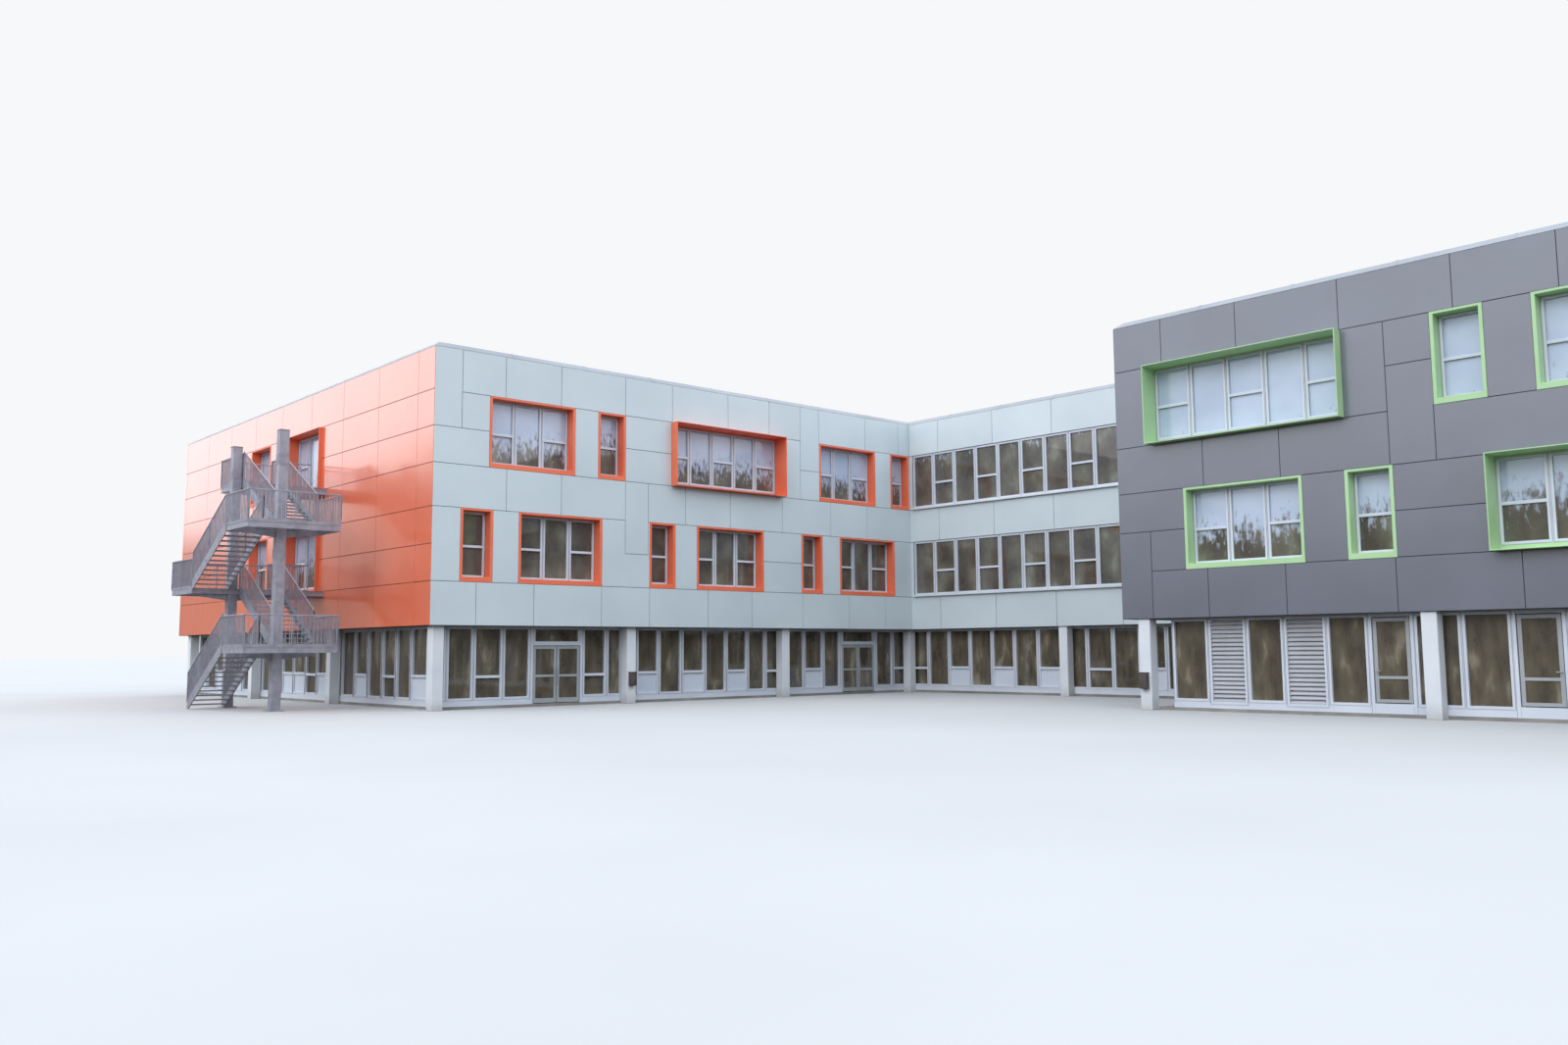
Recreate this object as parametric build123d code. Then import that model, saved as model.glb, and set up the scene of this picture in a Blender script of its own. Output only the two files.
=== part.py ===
from build123d import *
import os
from collections import namedtuple

os.makedirs("parts", exist_ok=True)

# School building of three joined wings, three storeys high, at half of its real size.
# The pale wing runs along +X, the link wing and the dark wing follow towards -Y.
# Millimetres, +Z up. The origin is the middle of the foot of the column at the corner
# between the pale front and the orange end wall.

# Column grid
bay_x = 3860
bay_y = 4215
link_bay_y = 4270
column_width = 200
building_bays_x = 5
link_first_bay = 3
dark_first_bay = 2
pale_bays_y = 3
link_bays_y = 2
dark_bays_y = 3

# Distance of the outer face of each wall from the grid line behind it
front_edge = 200
face_edge = 120
return_edge = 346
rear_edge = 457

# Levels above the ground
ground_floor_level = 50
cladding_foot = 1402
first_floor_level = 2134
second_floor_level = 4105
wall_top = 6072

# Walls, slabs and beams
wall_thickness = 240
slab_thickness = 200
parapet_height = 150
beam_cover = 80
slab_edge_reach = 100
movement_joint = 2
coping_height = 100
coping_batter = 110
coping_overhang = 12

# Windows of the upper storeys
window_height = 1240
pane_pitch = 555
dark_pane_pitch = 600
window_side = 25
box_window_width = 2830
dark_box_width = 3030
surround_jamb = 48
surround_head = 35
surround_sill = 82
surround_proud = 16
box_projection = 190
box_sheet = 14
frame_setback = 175
frame_depth = 45
frame_bar = 42
mullion_width = 90
transom_height = 552
glass_thickness = 12
sill_projection = 70
sill_height = 36
ribbon_panes = 13
ribbon_end_gap = 112
ribbon_setback = 8

# Glazed ground floor behind the columns
glazing_setback = 110
return_glazing_setback = 349
glazing_depth = 60
glazing_bar = 45
glazing_mullion = 90
glazing_foot = 135
glazing_head = 50
glazing_rail = 45
panel_height = 485
low_transom_height = 468
louvre_foot = 95
panel_thickness = 24

# Windows over the stair, from the corner between the pale front and the orange wall
stair_door_offset = 4760
stair_door_projection = 75
stair_window_offset = 7514

# Doors of the ground floor
door_height = 1020
door_head_rail = 70
leaf_clearance = 12
leaf_thickness = 34
leaf_stile = 50
leaf_bottom_rail = 80
leaf_middle_rail = 40
leaf_middle_height = 464
terrace_bottom_rail = 45
pivot_radius = 9
pivot_gap = 0.3
pull_length = 300
pull_radius = 8
pull_standoff = 26
pull_height = 520
pull_foot_offset = 120
lever_length = 66
lever_radius = 6
lever_height = 625
hinge_inset = 20

# Outside stair
stair_centre_x = -1866
stair_post_width = 160
stair_post_height = 4750
post_clearance = 15
outer_lane_width = 620
inner_lane_width = 740
near_landing_start = 1505
near_landing_depth = 1055
near_post_y = 2032
far_landing_start = 4257
far_landing_depth = 1173
bridge_width = 560
risers = 13
tread_thickness = 20
tread_nosing = 12
stringer_thickness = 15
stringer_above = 40
stringer_below = 125
landing_beam_height = 100
landing_beam_width = 14
deck_thickness = 18
rail_height = 530
toe_height = 45
rail_depth = 12
rail_tube = 20
rail_bar = 9
rail_bar_pitch = 66
landing_rail_gap = 4

# Litter bins on two columns
bin_width = 125
bin_height = 250
bin_depth = 98
bin_foot = 325


def grid_y(j):
    """Place along Y of grid line j; the bays of the link wing are a little longer."""
    link_bays = min(max(-j, 0), link_bays_y)
    return (j + link_bays) * bay_y - link_bays * link_bay_y


# Plan lines
x_orange = -front_edge
x_back = building_bays_x * bay_x + front_edge
x_link = link_first_bay * bay_x - face_edge
x_dark = dark_first_bay * bay_x - face_edge
y_front = -front_edge
y_rear = grid_y(pale_bays_y) + rear_edge
y_return = grid_y(-link_bays_y) + return_edge
y_end = grid_y(-link_bays_y - dark_bays_y) - front_edge

Facade = namedtuple("Facade", "name origin right normal length edge start_turn end_turn setback",
                    defaults=(glazing_setback,))
CONVEX = 1
INNER = -1

LEFT = (-1, 0, 0)
RIGHT = (1, 0, 0)
FRONT = (0, -1, 0)
BACK = (0, 1, 0)
UP = (0, 0, 1)

# The walls in order round the plan, each from left to right as seen from outside
facades = (
    Facade("pale_front", (x_orange, y_front, 0), RIGHT, FRONT, x_link - x_orange, front_edge, CONVEX, INNER),
    Facade("link_front", (x_link, y_front, 0), FRONT, LEFT, y_front - y_return, face_edge, INNER, INNER),
    Facade("dark_return", (x_link, y_return, 0), LEFT, BACK, x_link - x_dark, return_edge, INNER, CONVEX,
           return_glazing_setback),
    Facade("dark_front", (x_dark, y_return, 0), FRONT, LEFT, y_return - y_end, face_edge, CONVEX, CONVEX),
    Facade("dark_end", (x_dark, y_end, 0), RIGHT, FRONT, x_back - x_dark, front_edge, CONVEX, CONVEX),
    Facade("back", (x_back, y_end, 0), BACK, RIGHT, y_rear - y_end, front_edge, CONVEX, CONVEX),
    Facade("pale_rear", (x_back, y_rear, 0), LEFT, BACK, x_back - x_orange, rear_edge, CONVEX, CONVEX),
    Facade("orange_end", (x_orange, y_rear, 0), FRONT, LEFT, y_rear - y_front, front_edge, CONVEX, CONVEX),
)
facade = {f.name: f for f in facades}


def before(f):
    return facades[facades.index(f) - 1]


def after(f):
    return facades[(facades.index(f) + 1) % len(facades)]


def plane_of(f):
    """Plane of the outer face: x to the right, y up, z outwards."""
    return Plane(origin=f.origin, x_dir=f.right, z_dir=f.normal)


def box(x0, x1, y0, y1, z0, z1):
    return Pos((x0 + x1) / 2, (y0 + y1) / 2, (z0 + z1) / 2) * Box(x1 - x0, y1 - y0, z1 - z0)


def plan_of(f, level):
    """Plan at a level: x along the wall to the right, y inwards from its outer face."""
    return Plane(origin=f.origin, x_dir=f.right, z_dir=UP).offset(level)


def wall_box(f, u0, u1, v0, v1, d0, d1):
    """Box on a wall: u along it, v up, d inwards from its outer face."""
    return plane_of(f).location * box(u0, u1, v0, v1, -d1, -d0)


def write(name, *solids):
    """Writes one sub-part from its solids."""
    export_step(Compound(label=name, children=list(solids)), f"parts/{name}.step")


def ring_piece(f, d0, d1_of, z0, z1, gap=0.0):
    """Length of a ring round the plan between depth d0 and depth d1_of(f), mitred at its corners."""
    d1 = d1_of(f)
    d1_before = d1_of(before(f))
    d1_after = d1_of(after(f))
    points = [
        (f.start_turn * d0 + gap, d0),
        (f.length - f.end_turn * d0 - gap, d0),
        (f.length - f.end_turn * d1_after - gap, d1),
        (f.start_turn * d1_before + gap, d1),
    ]
    outline = plan_of(f, z0) * Polygon(*points, align=None)
    return extrude(outline, z1 - z0, dir=UP)


def wall_depth(f):
    return wall_thickness


def glazing_front(f):
    return f.edge + f.setback


def glazing_back(f):
    return glazing_front(f) + glazing_depth


def beam_depth(f):
    return glazing_back(f) + beam_cover


# Windows of the upper storeys

FIRST = first_floor_level
SECOND = second_floor_level

Window = namedtuple("Window", "start width panes floor projection")


def window(start, panes, floor, pitch=pane_pitch):
    return Window(start, panes * pitch + 2 * window_side, panes, floor, surround_proud)


def box_window(start, width, floor):
    return Window(start, width, 5, floor, box_projection)


def stair_windows(floor):
    """Door wall at the landing and the window beside it, placed from the near corner."""
    near_corner = facade["orange_end"].length
    placed = []
    for from_corner, panes, proud in ((stair_door_offset, 3, stair_door_projection),
                                      (stair_window_offset, 2, surround_proud)):
        width = panes * pane_pitch + 2 * window_side
        placed.append(Window(near_corner - from_corner - width, width, panes, floor, proud))
    return placed


def hidden_side_windows(f):
    """On the sides that face away each bay has a wide and a narrow window, in turn by storey."""
    bay = bay_y if f.normal == RIGHT else bay_x
    narrow = pane_pitch + 2 * window_side
    wide = 3 * pane_pitch + 2 * window_side
    pier = (bay - narrow - wide) / 2
    bays = round((f.length - 2 * f.edge) / bay)
    first = (f.length - bays * bay + pier) / 2
    placed = []
    for number in range(bays):
        start = first + number * bay
        placed.append(window(start, 3, SECOND))
        placed.append(window(start + wide + pier, 1, SECOND))
        placed.append(window(start, 1, FIRST))
        placed.append(window(start + narrow + pier, 3, FIRST))
    return placed


windows = {
    "pale_front": [
        window(1012, 3, SECOND), window(3223, 1, SECOND),
        box_window(4895, box_window_width, SECOND),
        window(8811, 3, SECOND), window(11022, 1, SECOND),
        window(500, 1, FIRST), window(1606, 3, FIRST), window(4384, 1, FIRST),
        window(5511, 3, FIRST), window(8278, 1, FIRST), window(9400, 3, FIRST),
    ],
    "orange_end": stair_windows(FIRST) + stair_windows(SECOND),
    "dark_front": [
        box_window(588, dark_box_width, SECOND),
        window(4799, 1, SECOND, dark_pane_pitch), window(6009, 3, SECOND, dark_pane_pitch),
        window(8900, 1, SECOND, dark_pane_pitch), window(10300, 3, SECOND, dark_pane_pitch),
        window(1125, 3, FIRST, dark_pane_pitch), window(3578, 1, FIRST, dark_pane_pitch),
        box_window(5410, dark_box_width, FIRST),
        window(9500, 1, FIRST, dark_pane_pitch), window(10900, 3, FIRST, dark_pane_pitch),
    ],
    "dark_end": hidden_side_windows(facade["dark_end"]),
    "back": hidden_side_windows(facade["back"]),
    "pale_rear": hidden_side_windows(facade["pale_rear"]),
}


def wall_holes(f):
    return [
        wall_box(f, w.start, w.start + w.width, w.floor, w.floor + window_height, -1, wall_thickness + 1)
        for w in windows.get(f.name, [])
    ]


def wall(f, gap=0.0):
    solid = ring_piece(f, 0, wall_depth, cladding_foot, wall_top, gap)
    holes = wall_holes(f)
    return solid - holes if holes else solid


def link_wall():
    """The link wall has a row of windows on each upper storey that runs from wall to wall."""
    f = facade["link_front"]
    rows = [
        wall_box(f, ribbon_end_gap, f.length, floor, floor + window_height, -1, wall_thickness + 1)
        for floor in (FIRST, SECOND)
    ]
    return ring_piece(f, 0, wall_depth, cladding_foot, wall_top) - rows


def surround(f, w):
    """Sheet metal lining round a window, from its front edge back to the window frame."""
    u0, u1 = w.start, w.start + w.width
    v0, v1 = w.floor, w.floor + window_height
    lining = wall_box(f, u0, u1, v0, v1, -w.projection, wall_thickness)
    lining -= wall_box(f, *inner_edges(w), -w.projection - 1, wall_thickness + 1)
    if w.projection > surround_proud:
        lining -= wall_box(f, u0 + box_sheet, u1 - box_sheet, v0 + box_sheet, v1 - box_sheet,
                           -w.projection - 1, frame_setback)
    return lining


def panes_of(u0, u1, panes, mullion):
    """Left and right edge of each pane between the jambs of a frame."""
    pitch = (u1 - u0 + mullion) / panes
    return [(u0 + n * pitch, u0 + (n + 1) * pitch - mullion) for n in range(panes)]


def window_frame(f, u0, u1, v0, v1, panes, d0, first_railed):
    """Frame with a post between panes; every second pane has a rail below its middle."""
    glass_front = d0 + frame_depth - glass_thickness
    body = wall_box(f, u0, u1, v0, v1, d0, d0 + frame_depth)
    cuts = []
    for number, (p0, p1) in enumerate(panes_of(u0 + frame_bar, u1 - frame_bar, panes, mullion_width)):
        rail = v0 + transom_height - frame_bar
        if number % 2 == first_railed:
            cuts.append(wall_box(f, p0, p1, v0 + frame_bar, rail, d0 - 1, glass_front))
            cuts.append(wall_box(f, p0, p1, rail + frame_bar, v1 - frame_bar, d0 - 1, glass_front))
        else:
            cuts.append(wall_box(f, p0, p1, v0 + frame_bar, v1 - frame_bar, d0 - 1, glass_front))
    rebate = wall_box(f, u0 + frame_bar, u1 - frame_bar, v0 + frame_bar, v1 - frame_bar,
                      glass_front, d0 + frame_depth + 1)
    return body - cuts - rebate


def window_glass(f, u0, u1, v0, v1, d0):
    """One sheet of glass in the rebate behind the posts of a frame."""
    glass_front = d0 + frame_depth - glass_thickness
    return wall_box(f, u0 + frame_bar, u1 - frame_bar, v0 + frame_bar, v1 - frame_bar,
                    glass_front, d0 + frame_depth)


def inner_edges(w):
    """Left, right, bottom and top of a window's frame. In a box of thin sheet it reaches the sheet at the sides."""
    if w.projection > surround_proud:
        return (w.start + box_sheet, w.start + w.width - box_sheet,
                w.floor + surround_sill, w.floor + window_height - surround_head)
    return (w.start + surround_jamb, w.start + w.width - surround_jamb,
            w.floor + surround_sill, w.floor + window_height - surround_head)


def glazed_windows(f):
    """Surrounds, frames and glass of one wall's windows."""
    found = windows.get(f.name, [])
    surrounds = [surround(f, w) for w in found]
    frames = [window_frame(f, *inner_edges(w), w.panes, frame_setback, 0) for w in found]
    glass = [window_glass(f, *inner_edges(w), frame_setback) for w in found]
    return surrounds, frames, glass


def ribbon_windows():
    """The link wing's rows of windows from wall to wall, each on a projecting sill."""
    f = facade["link_front"]
    u0, u1 = ribbon_end_gap, f.length
    frames, glass, sills = [], [], []
    for floor in (FIRST, SECOND):
        v0, v1 = floor + sill_height, floor + window_height
        frames.append(window_frame(f, u0, u1, v0, v1, ribbon_panes, ribbon_setback, 1))
        glass.append(window_glass(f, u0, u1, v0, v1, ribbon_setback))
        sills.append(wall_box(f, u0, u1, floor, v0, -sill_projection, wall_thickness))
    return frames, glass, sills


# Ground floor glazing

FULL, LOW, PANEL, LOUVRE, DOOR = "full", "low", "panel", "louvre", "door"
TERRACE_LEFT, TERRACE_RIGHT = "terrace door hung on its left", "terrace door hung on its right"
DOORS = (DOOR, TERRACE_LEFT, TERRACE_RIGHT)

Pane = namedtuple("Pane", "u0 u1 kind")


def glazing_ends(f):
    """Left and right end of a wall's glazing: at a corner one run passes and the next stops behind it."""
    start = f.start_turn * glazing_front(before(f))
    end = f.length - f.end_turn * glazing_back(after(f))
    return start, end


def panes_between(f, posts, kinds):
    """Panes between the ends of a wall's glazing and the centres of its posts."""
    start, end = glazing_ends(f)
    edges = [start, *posts, end]
    return [Pane(a, b, kind) for a, b, kind in zip(edges[:-1], edges[1:], kinds)]


def even_panes(f, count, kinds):
    start, end = glazing_ends(f)
    width = (end - start) / count
    return [
        Pane(start + n * width, start + (n + 1) * width, kinds[n % len(kinds)]) for n in range(count)
    ]


ground_panes = {
    "pale_front": panes_between(
        facade["pale_front"],
        (456, 957, 1512, 2062, 3130, 3652, 4000, 4323, 4840, 5390, 5956, 6501, 7056, 7535, 8085,
         8624, 9180, 9697, 10797, 11352),
        (FULL, FULL, LOW, FULL, DOOR, LOW, FULL, PANEL, PANEL, FULL, PANEL, FULL, PANEL, FULL, LOW,
         FULL, PANEL, FULL, DOOR, FULL, LOW)),
    "link_front": panes_between(
        facade["link_front"],
        (281, 888, 1484, 2092, 2687, 3296, 3896, 4496, 5096, 5696, 6271, 6890, 7510, 8130),
        (LOW, FULL, PANEL, FULL, PANEL, FULL, PANEL, FULL, LOW, FULL, PANEL, FULL, PANEL, FULL, PANEL)),
    "dark_return": even_panes(facade["dark_return"], 6, (FULL, PANEL)),
    "dark_front": panes_between(
        facade["dark_front"],
        (1302, 1910, 2484, 3104, 3685, 4280, 4878, 5472, 6080, 6680, 7280, 7880, 8480, 9080, 9680,
         10280, 10880, 11480, 12080),
        (FULL, LOUVRE, FULL, LOUVRE, FULL, TERRACE_RIGHT, FULL, FULL, TERRACE_LEFT, FULL, LOUVRE, FULL,
         LOUVRE, FULL, LOW, FULL, LOUVRE, FULL, LOUVRE, FULL)),
    "dark_end": even_panes(facade["dark_end"], 18, (FULL, PANEL)),
    "back": even_panes(facade["back"], 54, (FULL, PANEL)),
    "pale_rear": even_panes(facade["pale_rear"], 32, (FULL, PANEL)),
    "orange_end": panes_between(
        facade["orange_end"],
        (1184, 1784, 2384, 2984, 3584, 4184, 4784, 5384, 5984, 6590, 7232, 7811, 8412, 9013, 9613,
         10200, 10810, 11372, 11968, 12600),
        (PANEL, FULL, PANEL, FULL, PANEL, FULL, PANEL, FULL, PANEL, PANEL, PANEL, LOW, PANEL, FULL,
         FULL, PANEL, FULL, LOW, FULL, PANEL, FULL)),
}


def runs_of(panes):
    """Groups panes into runs that a door or nothing ends."""
    runs, current = [], []
    for pane in panes:
        if pane.kind in DOORS:
            runs.append(current)
            current = []
        else:
            current.append(pane)
    runs.append(current)
    return runs


def glazing_run(f, run):
    """Frame of one run of panes, with the glass, panels and louvres in it."""
    d0, back = glazing_front(f), glazing_back(f)
    glass_front = back - glass_thickness
    v0, v1 = ground_floor_level, cladding_foot
    u0, u1 = run[0].u0 + movement_joint, run[-1].u1 - movement_joint
    head = v1 - glazing_head
    cuts, panels = [], []
    for pane in run:
        p0 = u0 + glazing_bar if pane is run[0] else pane.u0 + glazing_mullion / 2
        p1 = u1 - glazing_bar if pane is run[-1] else pane.u1 - glazing_mullion / 2
        foot = v0 + (louvre_foot if pane.kind == LOUVRE else glazing_foot)
        splits = {LOW: low_transom_height, PANEL: panel_height}
        if pane.kind in splits:
            rail = v0 + splits[pane.kind]
            cuts.append(wall_box(f, p0, p1, foot, rail, d0 - 1, glass_front))
            cuts.append(wall_box(f, p0, p1, rail + glazing_rail, head, d0 - 1, glass_front))
        else:
            cuts.append(wall_box(f, p0, p1, foot, head, d0 - 1, glass_front))
        if pane.kind in (PANEL, LOUVRE):
            top = v0 + panel_height if pane.kind == PANEL else head
            panel = wall_box(f, p0, p1, foot, top, glass_front - panel_thickness, glass_front)
            panels.append((pane.kind, panel))
    body = wall_box(f, u0, u1, v0, v1, d0, back)
    sheet = wall_box(f, u0 + glazing_bar, u1 - glazing_bar, v0 + louvre_foot, head, glass_front, back)
    return body - cuts - sheet, sheet, panels


def door_frame(f, door):
    """Posts, head and, under a terrace door, sill; over a pair of doors the head holds a fixed light."""
    d0, back = glazing_front(f), glazing_back(f)
    glass_front = back - glass_thickness
    v0, v1 = ground_floor_level, cladding_foot
    left, right = door.u0 + glazing_bar, door.u1 - glazing_bar
    j = movement_joint
    posts = [wall_box(f, a, b, v0, v1, d0, back) for a, b in ((door.u0 + j, left), (right, door.u1 - j))]
    if door.kind != DOOR:
        sill = wall_box(f, left + j, right - j, v0, v0 + glazing_foot, d0, back)
        head = wall_box(f, left + j, right - j, v1 - glazing_head, v1, d0, back)
        return posts + [sill, head], []
    head = wall_box(f, left + j, right - j, v0 + door_height, v1, d0, back)
    inner = (left + glazing_bar, right - glazing_bar, v0 + door_height + door_head_rail, v1 - glazing_head)
    light = wall_box(f, *inner, glass_front, back)
    return posts + [head - wall_box(f, *inner, d0 - 1, glass_front) - light], [light]


def upright_bar(f, u, v0, v1, d, radius):
    return plane_of(f).location * Pos(u, (v0 + v1) / 2, -d) * Rot(-90, 0, 0) * Cylinder(radius, v1 - v0)


def door_leaf(f, u0, u1, below, above, hinge_left, bottom_rail, handle):
    """Glazed leaf between two levels, on a pivot at its foot and one at its head."""
    d0 = glazing_front(f) + (glazing_depth - leaf_thickness) / 2
    d1 = d0 + leaf_thickness
    v0, v1 = below + leaf_clearance, above - leaf_clearance
    middle_rail = ground_floor_level + leaf_middle_height
    pane = (u0 + leaf_stile, u1 - leaf_stile, v0 + bottom_rail, v1 - leaf_stile)
    lower = (*pane[:3], middle_rail)
    upper = (*pane[:2], middle_rail + leaf_middle_rail, pane[3])
    frame = wall_box(f, u0, u1, v0, v1, d0, d1)
    frame -= [wall_box(f, *light, d0 - 1, d1 + 1) for light in (lower, upper)]
    middle = (d0 + d1) / 2
    half_glass = glass_thickness / 2
    sheets = [wall_box(f, *light, middle - half_glass, middle + half_glass) for light in (lower, upper)]
    hinge_u = u0 + hinge_inset if hinge_left else u1 - hinge_inset
    pins = [
        upright_bar(f, hinge_u, below + pivot_gap, v0 + 1, middle, pivot_radius),
        upright_bar(f, hinge_u, v1 - 1, above - pivot_gap, middle, pivot_radius),
    ]
    handle_u = u1 - leaf_stile / 2 if hinge_left else u0 + leaf_stile / 2
    return frame + pins + handle(f, handle_u, d0, -1 if hinge_left else 1), sheets


def pull_bar(f, u, d0, inwards):
    """Upright bar on two feet."""
    d = d0 - pull_standoff
    half = pull_radius / 2
    feet = [
        wall_box(f, u - half, u + half, v - half, v + half, d, d0)
        for v in (pull_height - pull_foot_offset, pull_height + pull_foot_offset)
    ]
    ends = (pull_height - pull_length / 2, pull_height + pull_length / 2)
    return [upright_bar(f, u, *ends, d, pull_radius)] + feet


def lever(f, u, d0, inwards):
    """Lever on a neck, that points over the glass."""
    d = d0 - pull_standoff
    r = lever_radius
    ends = sorted((u - inwards * r, u + inwards * (lever_length - r)))
    return [wall_box(f, u - r, u + r, lever_height - r, lever_height + r, d, d0),
            wall_box(f, *ends, lever_height - r, lever_height + r, d - r, d + r)]


def door_leaves(f, door):
    """Leaf and glass of each leaf that closes a doorway."""
    left, right = door.u0 + glazing_bar + leaf_clearance, door.u1 - glazing_bar - leaf_clearance
    floor = ground_floor_level
    if door.kind != DOOR:
        levels = (floor + glazing_foot, cladding_foot - glazing_head)
        return [door_leaf(f, left, right, *levels, door.kind == TERRACE_LEFT, terrace_bottom_rail, lever)]
    middle = (left + right) / 2
    half_gap = leaf_clearance / 2
    levels = (floor, floor + door_height)
    return [
        door_leaf(f, left, middle - half_gap, *levels, True, leaf_bottom_rail, pull_bar),
        door_leaf(f, middle + half_gap, right, *levels, False, leaf_bottom_rail, pull_bar),
    ]


# Frame of the building

def in_plan(i, j):
    """True where the bay cell at half steps (i, j) of the grid is part of the plan."""
    pale = 0 < i < building_bays_x and 0 < j < pale_bays_y
    link = link_first_bay < i < building_bays_x and -link_bays_y < j < 0
    dark = dark_first_bay < i < building_bays_x and -(link_bays_y + dark_bays_y) < j < -link_bays_y
    return pale or link or dark


def grid_points():
    """Crossings of the grid, as (x, y, how many of the four cells round it are in the plan)."""
    found = []
    for i in range(building_bays_x + 1):
        for j in range(-(link_bays_y + dark_bays_y), pale_bays_y + 1):
            cells = sum(in_plan(i + di, j + dj) for di in (-0.5, 0.5) for dj in (-0.5, 0.5))
            if cells:
                found.append((i * bay_x, grid_y(j), cells))
    return found


def column(x, y, z0, z1):
    half = column_width / 2
    return box(x - half, x + half, y - half, y + half, z0, z1)


def outer_columns():
    return [column(x, y, 0, cladding_foot) for x, y, cells in grid_points() if cells < 4]


def inner_columns():
    storeys = (
        (ground_floor_level, first_floor_level - slab_thickness),
        (first_floor_level, second_floor_level - slab_thickness),
        (second_floor_level, wall_top - parapet_height - slab_thickness),
    )
    return [
        column(x, y, z0, z1) for x, y, cells in grid_points() if cells == 4 for z0, z1 in storeys
    ]


def floor_plates(top, thickness, reach_of):
    """One plate for each wing, with a movement joint between wings."""
    j = movement_joint
    x_low, x_high = x_orange + reach_of("orange_end"), x_back - reach_of("back")
    y_low, y_high = y_front + reach_of("pale_front"), y_rear - reach_of("pale_rear")
    x_link_in = x_link + reach_of("link_front")
    x_dark_in = x_dark + reach_of("dark_front")
    y_dark_in = y_return - reach_of("dark_return")
    y_end_in = y_end + reach_of("dark_end")
    z0, z1 = top - thickness, top
    return [
        box(x_low, x_high, y_low, y_high, z0, z1),
        box(x_link_in, x_high, y_dark_in + j, y_low - j, z0, z1),
        box(x_dark_in, x_high, y_end_in, y_dark_in, z0, z1),
    ]


def inside_walls(name):
    return wall_thickness


def at_columns(name):
    return facade[name].edge + slab_edge_reach


def edge_beams():
    top = first_floor_level - slab_thickness
    return [ring_piece(f, wall_thickness, beam_depth, cladding_foot, top, movement_joint) for f in facades]


def coping(f):
    """Metal capping whose outer face leans in over the wall, mitred at the corners."""
    profile = Polygon(
        (coping_overhang, 0), (-coping_batter, coping_height),
        (-wall_thickness, coping_height), (-wall_thickness, 0), align=None)
    past_corner = 2 * wall_thickness
    start = tuple(o - past_corner * r for o, r in zip(f.origin, f.right))
    section = Plane(origin=start, x_dir=f.normal, z_dir=tuple(-r for r in f.right))
    bar = extrude(section * Pos(0, wall_top, 0) * profile, f.length + 2 * past_corner, dir=f.right)
    gap = movement_joint
    points = [
        (-f.start_turn * coping_overhang + gap, -coping_overhang),
        (f.length + f.end_turn * coping_overhang - gap, -coping_overhang),
        (f.length - f.end_turn * wall_thickness - gap, wall_thickness),
        (f.start_turn * wall_thickness + gap, wall_thickness),
    ]
    return bar & extrude(plan_of(f, wall_top) * Polygon(*points, align=None), coping_height, dir=UP)


# Outside stair

half_level_1 = first_floor_level / 2
half_level_2 = (first_floor_level + second_floor_level) / 2
lane_inner = stair_post_width / 2 + post_clearance
stair_left = stair_centre_x - lane_inner - outer_lane_width
stair_right = stair_centre_x + lane_inner + inner_lane_width
near_edge = near_landing_start + near_landing_depth
far_post_y = far_landing_start + post_clearance + stair_post_width / 2
far_landing_end = far_landing_start + far_landing_depth
bridge_start = far_landing_end - bridge_width
# The top landing ends at the far post, because no flight goes on from it
top_landing_left = stair_centre_x + stair_post_width / 2


def stair_post(y):
    half = stair_post_width / 2
    return box(stair_centre_x - half, stair_centre_x + half, y - half, y + half, 0, stair_post_height)


def landing(x0, x1, y0, y1, level, post_y=None):
    """Deck on a rim of channels, with a post through it or at its edge."""
    w = landing_beam_width
    rim = box(x0, x1, y0, y1, level - landing_beam_height, level)
    hollow = box(x0 + w, x1 - w, y0 + w, y1 - w, level - landing_beam_height - 1, level - deck_thickness)
    if post_y is None:
        return rim - hollow
    half = stair_post_width / 2
    hole = box(stair_centre_x - half, stair_centre_x + half, post_y - half, post_y + half,
               level - landing_beam_height - 1, level + 1)
    return rim - hollow - hole


Flight = namedtuple("Flight", "x0 x1 foot_y foot_z head_y head_z")
outer_lane = (stair_left, stair_centre_x - lane_inner)
inner_lane = (stair_centre_x + lane_inner, stair_right)
flights = (
    Flight(*outer_lane, far_landing_start, 0, near_edge, half_level_1),
    Flight(*inner_lane, near_edge, half_level_1, far_landing_start, first_floor_level),
    Flight(*outer_lane, far_landing_start, first_floor_level, near_edge, half_level_2),
    Flight(*inner_lane, near_edge, half_level_2, far_landing_start, second_floor_level),
)


def yz_plate(x0, x1, points):
    """Plate from x0 to x1 with an outline of (y, z) points."""
    outline = Plane(origin=(x0, 0, 0), x_dir=(0, 1, 0), z_dir=(1, 0, 0)) * Polygon(*points, align=None)
    return extrude(outline, x1 - x0, dir=(1, 0, 0))


def stringers(f):
    """Two side plates along the line of the nosings; the lowest pair stands on the ground."""
    rise = (f.head_z - f.foot_z) / risers
    foot, head = f.foot_z + rise, f.head_z
    points = [(f.foot_y, foot + stringer_above), (f.head_y, head + stringer_above),
              (f.head_y, head - stringer_below)]
    low = foot - stringer_below
    if f.foot_z > 0:
        points.append((f.foot_y, low))
    else:
        slope = (head - foot) / (f.head_y - f.foot_y)
        points += [(f.foot_y - low / slope, 0), (f.foot_y, 0)]
    t = stringer_thickness
    return [yz_plate(f.x0, f.x0 + t, points), yz_plate(f.x1 - t, f.x1, points)]


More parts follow.
